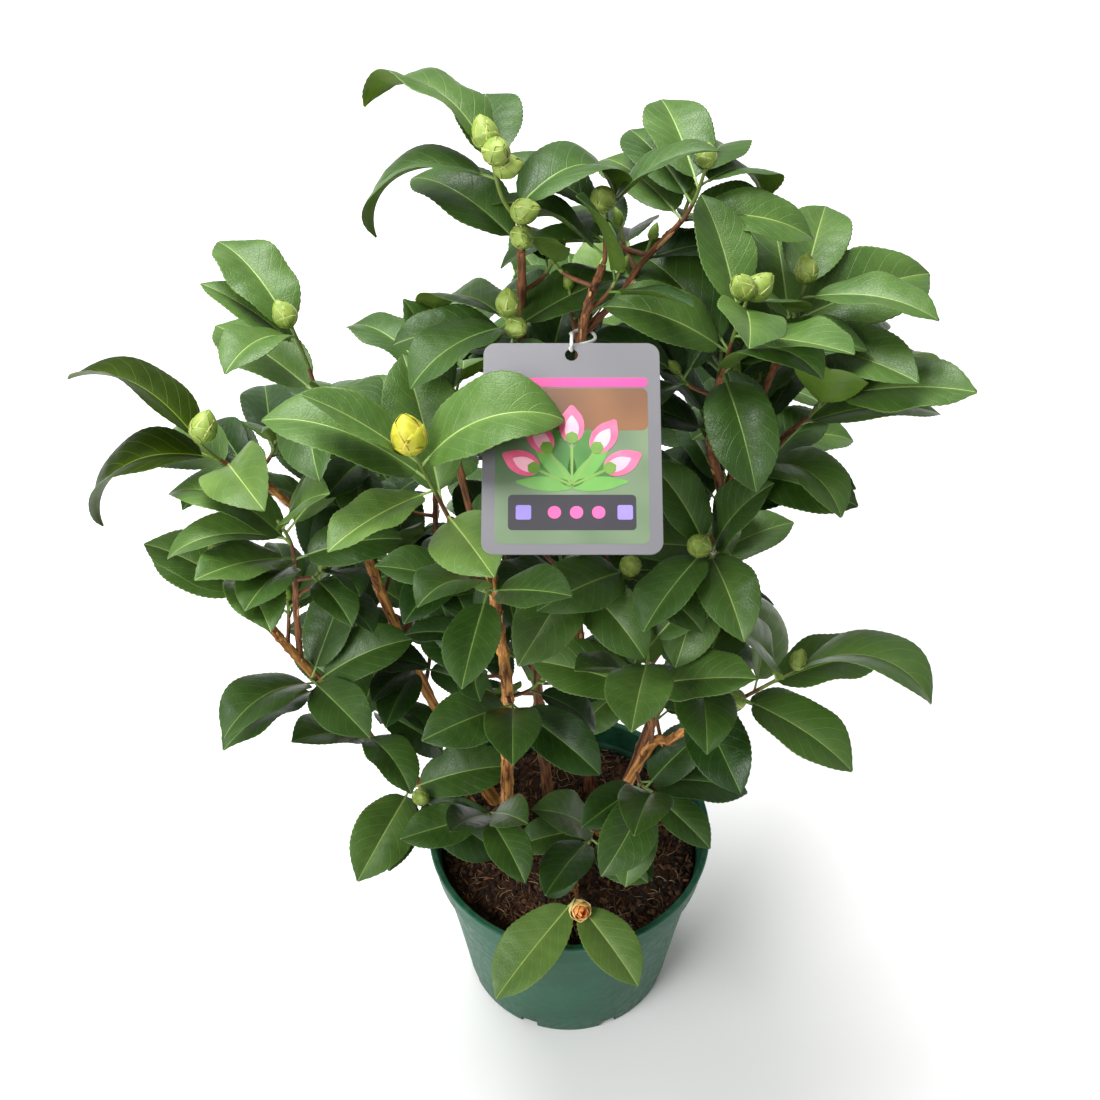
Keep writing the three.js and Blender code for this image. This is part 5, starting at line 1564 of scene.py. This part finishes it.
def rounded_plate(name, middle, size, corner, floor_height, thickness=PRINT_THICKNESS):
    """A flat plate: a plane is sized, its corners are rounded and it is extruded."""
    clear_selection()
    at = (middle[0] * METRE, middle[1] * METRE, floor_height * METRE)
    bpy.ops.mesh.primitive_plane_add(size=METRE, location=at)
    made = just_added(name)
    settle()
    edit_all()
    bpy.ops.transform.resize(value=(size[0], size[1], 1), center_override=at)
    bpy.ops.mesh.bevel(offset=corner * METRE, segments=6, affect="VERTICES")
    bpy.ops.mesh.select_all(action="SELECT")
    bpy.ops.mesh.extrude_region_move(TRANSFORM_OT_translate={"value": (0, 0, thickness * METRE)})
    close_edit()
    return made


def printed_drop(name, root, turn, length, width, floor_height, point=DROP_POINT):
    """A flat printed leaf or bud: a circle with its far end drawn to a point, then sized and extruded."""
    clear_selection()
    bpy.ops.mesh.primitive_circle_add(vertices=32, radius=1, fill_type="NGON", location=(0, 0, 0))
    made = just_added(name)
    bpy.ops.object.mode_set(mode="EDIT")
    bpy.ops.mesh.select_mode(type="VERT")
    bpy.ops.mesh.select_all(action="DESELECT")
    bpy.ops.object.mode_set(mode="OBJECT")
    for corner in made.data.vertices:
        corner.select = corner.co.x > 0.8
    bpy.ops.object.mode_set(mode="EDIT")
    bpy.ops.transform.resize(value=(1, 0.55, 1), center_override=(0, 0, 0))
    bpy.ops.transform.translate(value=(point, 0, 0))
    bpy.ops.mesh.select_all(action="SELECT")
    bpy.ops.transform.translate(value=(0.92, 0, 0))
    bpy.ops.transform.resize(value=(length * METRE / 2, width * METRE / 2, 1), center_override=(0, 0, 0))
    bpy.ops.transform.rotate(value=-math.radians(turn), orient_axis="Z", center_override=(0, 0, 0))
    bpy.ops.transform.translate(value=(root[0] * METRE, root[1] * METRE, floor_height * METRE))
    bpy.ops.mesh.extrude_region_move(TRANSFORM_OT_translate={"value": (0, 0, PRINT_THICKNESS * METRE)})
    close_edit()
    return made


def joined(name, made):
    select_only(*made)
    bpy.ops.object.join()
    made[0].name = name
    made[0].data.name = name
    return made[0]


def lean_tag(piece):
    """Turns a flat piece of the label to the slope it hangs at."""
    select_only(piece)
    piece.rotation_euler = (tag_turn, 0, 0)
    piece.location = [value * METRE for value in TAG_TOP]
    settle()
    return piece


def glossy_print(name, low, high, scale=60.0, contrast=0.8):
    material, _, shader, _ = mottled(name, low, high, 0.34, 0.4, scale, contrast, 1.5)
    shader.inputs["Coat Weight"].default_value = 0.35
    shader.inputs["Coat Roughness"].default_value = 0.15
    return material


card = rounded_plate("tag_card", (0, -TAG_LENGTH / 2), (TAG_WIDTH, TAG_LENGTH), CARD_CORNER, CARD_FLOOR,
                     CARD_THICKNESS)
clear_selection()
bpy.ops.mesh.primitive_cylinder_add(vertices=24, radius=HOLE_RADIUS * METRE, depth=20 * METRE,
                                    location=(0, -HOLE_DOWN * METRE, 0))
cut_away(card, "hole", bpy.context.object)
apply_modifier(card, "soft_edges", "BEVEL", width=0.18 * METRE, segments=2, limit_method="ANGLE",
               angle_limit=math.radians(50))


def row_on_panel(name, places, size, corner):
    """Equal plates that stand side by side on the label's dark panel."""
    return joined(name, [rounded_plate(f"{name}_{k}", (x, PANEL_MIDDLE), (size, size), corner, FACE + 0.12)
                         for k, x in enumerate(places)])


# The fan of buds: the bearing of each stalk and how far it reaches from the root
FAN_ROOT = (0, -71)
FAN = {26: 33, 58: 38, 90: 41, 122: 38, 154: 33}


def on_fan(turn, share):
    """The place at a share of a stalk's reach, or the root where no stalk stands."""
    reach = FAN.get(turn, 0) * share
    bearing = math.radians(turn)
    return FAN_ROOT[0] + reach * math.cos(bearing), FAN_ROOT[1] + reach * math.sin(bearing)


def fan_of_drops(name, turns, share, length, width, level, point=DROP_POINT, step=0.0):
    """Printed drops at these bearings from a share of the stalks on, every second one a step higher."""
    return joined(name, [printed_drop(f"{name}_{k}", on_fan(turn, share), turn, length, width,
                                      FACE + level + step * (k % 2), point) for k, turn in enumerate(turns)])


# Each layer of the picture lies a little higher over the card's face than the one under it
ground = rounded_plate("tag_ground", (0, -61), (PICTURE_WIDTH, 76), 3, FACE)
shade = rounded_plate("tag_shade", (0, -33.5), (PICTURE_WIDTH, 21), 3, FACE + 0.03)
panel = rounded_plate("tag_panel", (0, PANEL_MIDDLE), (58, 17), 2, FACE + 0.06)
ribbon = rounded_plate("tag_ribbon", (0, -20), (PICTURE_WIDTH, 4.5), 1.5, FACE + 0.09)
dots = row_on_panel("tag_dots", (-8, 2, 12), 6, 2.9)
squares = row_on_panel("tag_squares", (-22, 24), 7, 1)
back_leaves = fan_of_drops("tag_back_leaves", (24, 74, 106, 156), 0, 27, 9, 0.09)
front_leaves = fan_of_drops("tag_front_leaves", (4, 48, 132, 176), 0, 24, 7, 0.12)
fan_stalks = joined("tag_fan_stalks", [printed_drop(f"fan_stalk_{turn}", FAN_ROOT, turn, reach * 0.8, 1.3,
                                                    FACE + 0.16) for turn, reach in FAN.items()])
outer = fan_of_drops("tag_buds_outer", FAN, 0.52, 17, 11.5, 0.2, step=0.01)
inner = fan_of_drops("tag_buds_inner", FAN, 0.55, 11, 6.5, 0.25)
cups = fan_of_drops("tag_bud_cups", FAN, 0.5, 6, 6, 0.3, 0.05)

# Each printed piece's finish: name, darker and lighter colour, the size of its mottling and its contrast
TAG_FINISHES = [
    (card, "tag_grey", (97, 96, 100), (113, 112, 117), 18.0, 0.8),
    (ground, "tag_soft_green", (62, 88, 62), (122, 140, 108), 30.0, 0.7),
    (shade, "tag_soft_brown", (78, 48, 26), (140, 94, 56), 34.0, 0.8),
    (panel, "tag_charcoal", (34, 32, 38), (50, 48, 56), 22.0, 0.8),
    (ribbon, "tag_pink", (206, 50, 126), (220, 70, 142), 40.0, 0.8),
    (dots, "tag_light_pink", (212, 74, 140), (224, 98, 156), 40.0, 0.8),
    (squares, "tag_lavender", (126, 110, 184), (146, 130, 200), 40.0, 0.8),
    (back_leaves, "tag_leaf_green", (44, 96, 34), (76, 130, 54), 90.0, 0.8),
    (front_leaves, "tag_leaf_light", (82, 138, 58), (112, 166, 78), 90.0, 0.8),
    (fan_stalks, "tag_stalk_green", (100, 136, 54), (128, 162, 78), 90.0, 0.8),
    (outer, "tag_bud_rose", (204, 64, 106), (226, 116, 148), 120.0, 0.7),
    (inner, "tag_bud_pale", (226, 142, 168), (236, 186, 200), 140.0, 0.7),
    (cups, "tag_cup_green", (84, 126, 44), (114, 152, 62), 140.0, 0.7),
]
for piece, *finish in TAG_FINISHES:
    assign(piece, glossy_print(*finish))
    finish_piece(lean_tag(piece), "label", "hang_tag")

# The loop of thread that holds the label, and where it goes round its stem
THREAD_RADIUS = 0.8
THREAD_RINGS = 73
hang = np.array(TAG_TOP) + tag_down * 3.4
held = np.array([3.0, -10.0, 594.0])
loop_points = [hang + tag_face * 0.5, hang + tag_face * 3 - tag_down * 3, held + [-5.5, -16, 14],
               held + [-5.5, 1, 0], held + [0, 6.5, -2], held + [5.5, 1, 0], held + [5, -16, 10],
               hang - tag_face * 2.4 - tag_down * 3, hang - tag_face * 0.2]
loop_heap = Heap()
loop_heap.add(tube_rings(loop_points, np.linspace(0, 1, THREAD_RINGS), np.full(THREAD_RINGS, THREAD_RADIUS),
                         10), 0)
thread_white = plain_growth("thread_white", (206, 210, 204), (226, 228, 224), 0.4, 60.0)
finish_piece(loop_heap.piece("tag_loop", [thread_white]), "label", "hang_tag")


# Floor, light and camera
FLOOR_SIZE = 9
WORLD_LIGHT = 0.42
SENSOR_WIDTH = 36
clear_selection()
bpy.ops.mesh.primitive_plane_add(size=FLOOR_SIZE, location=(0, 0, 0))
floor = bpy.context.object
floor.name = "floor"
pale, tree, shader = new_material("floor_white", 0.7, 0.2)
shader.inputs["Base Color"].default_value = (0.9, 0.9, 0.9, 1)
assign(floor, pale)

bpy.context.scene.view_settings.view_transform = "Standard"
world = bpy.data.worlds.new("studio")
bpy.context.scene.world = world
world.use_nodes = True
background = world.node_tree.nodes["Background"]
background.inputs["Color"].default_value = (1, 1, 1, 1)
background.inputs["Strength"].default_value = WORLD_LIGHT


def soft_light(name, place, aim, size, power):
    light = bpy.data.lights.new(name, "AREA")
    light.shape = "DISK"
    light.size = size
    light.energy = power
    made = bpy.data.objects.new(name, light)
    bpy.context.scene.collection.objects.link(made)
    made.location = place
    made.rotation_euler = (Vector(aim) - Vector(place)).to_track_quat("-Z", "Y").to_euler()


soft_light("light_above", (-0.5, 0.7, 2.4), (0, 0, 0.35), 1.7, 81)
soft_light("light_front_left", (-1.5, -1.5, 1.9), (0, 0, 0.3), 1.5, 58)

camera_data = bpy.data.cameras.new("camera")
camera_data.lens = CAMERA_LENS
camera_data.sensor_width = SENSOR_WIDTH
camera = bpy.data.objects.new("camera", camera_data)
camera.location = CAMERA_PLACE
camera.rotation_euler = (math.radians(90 - CAMERA_PITCH), 0, 0)
bpy.context.scene.collection.objects.link(camera)
bpy.context.scene.camera = camera
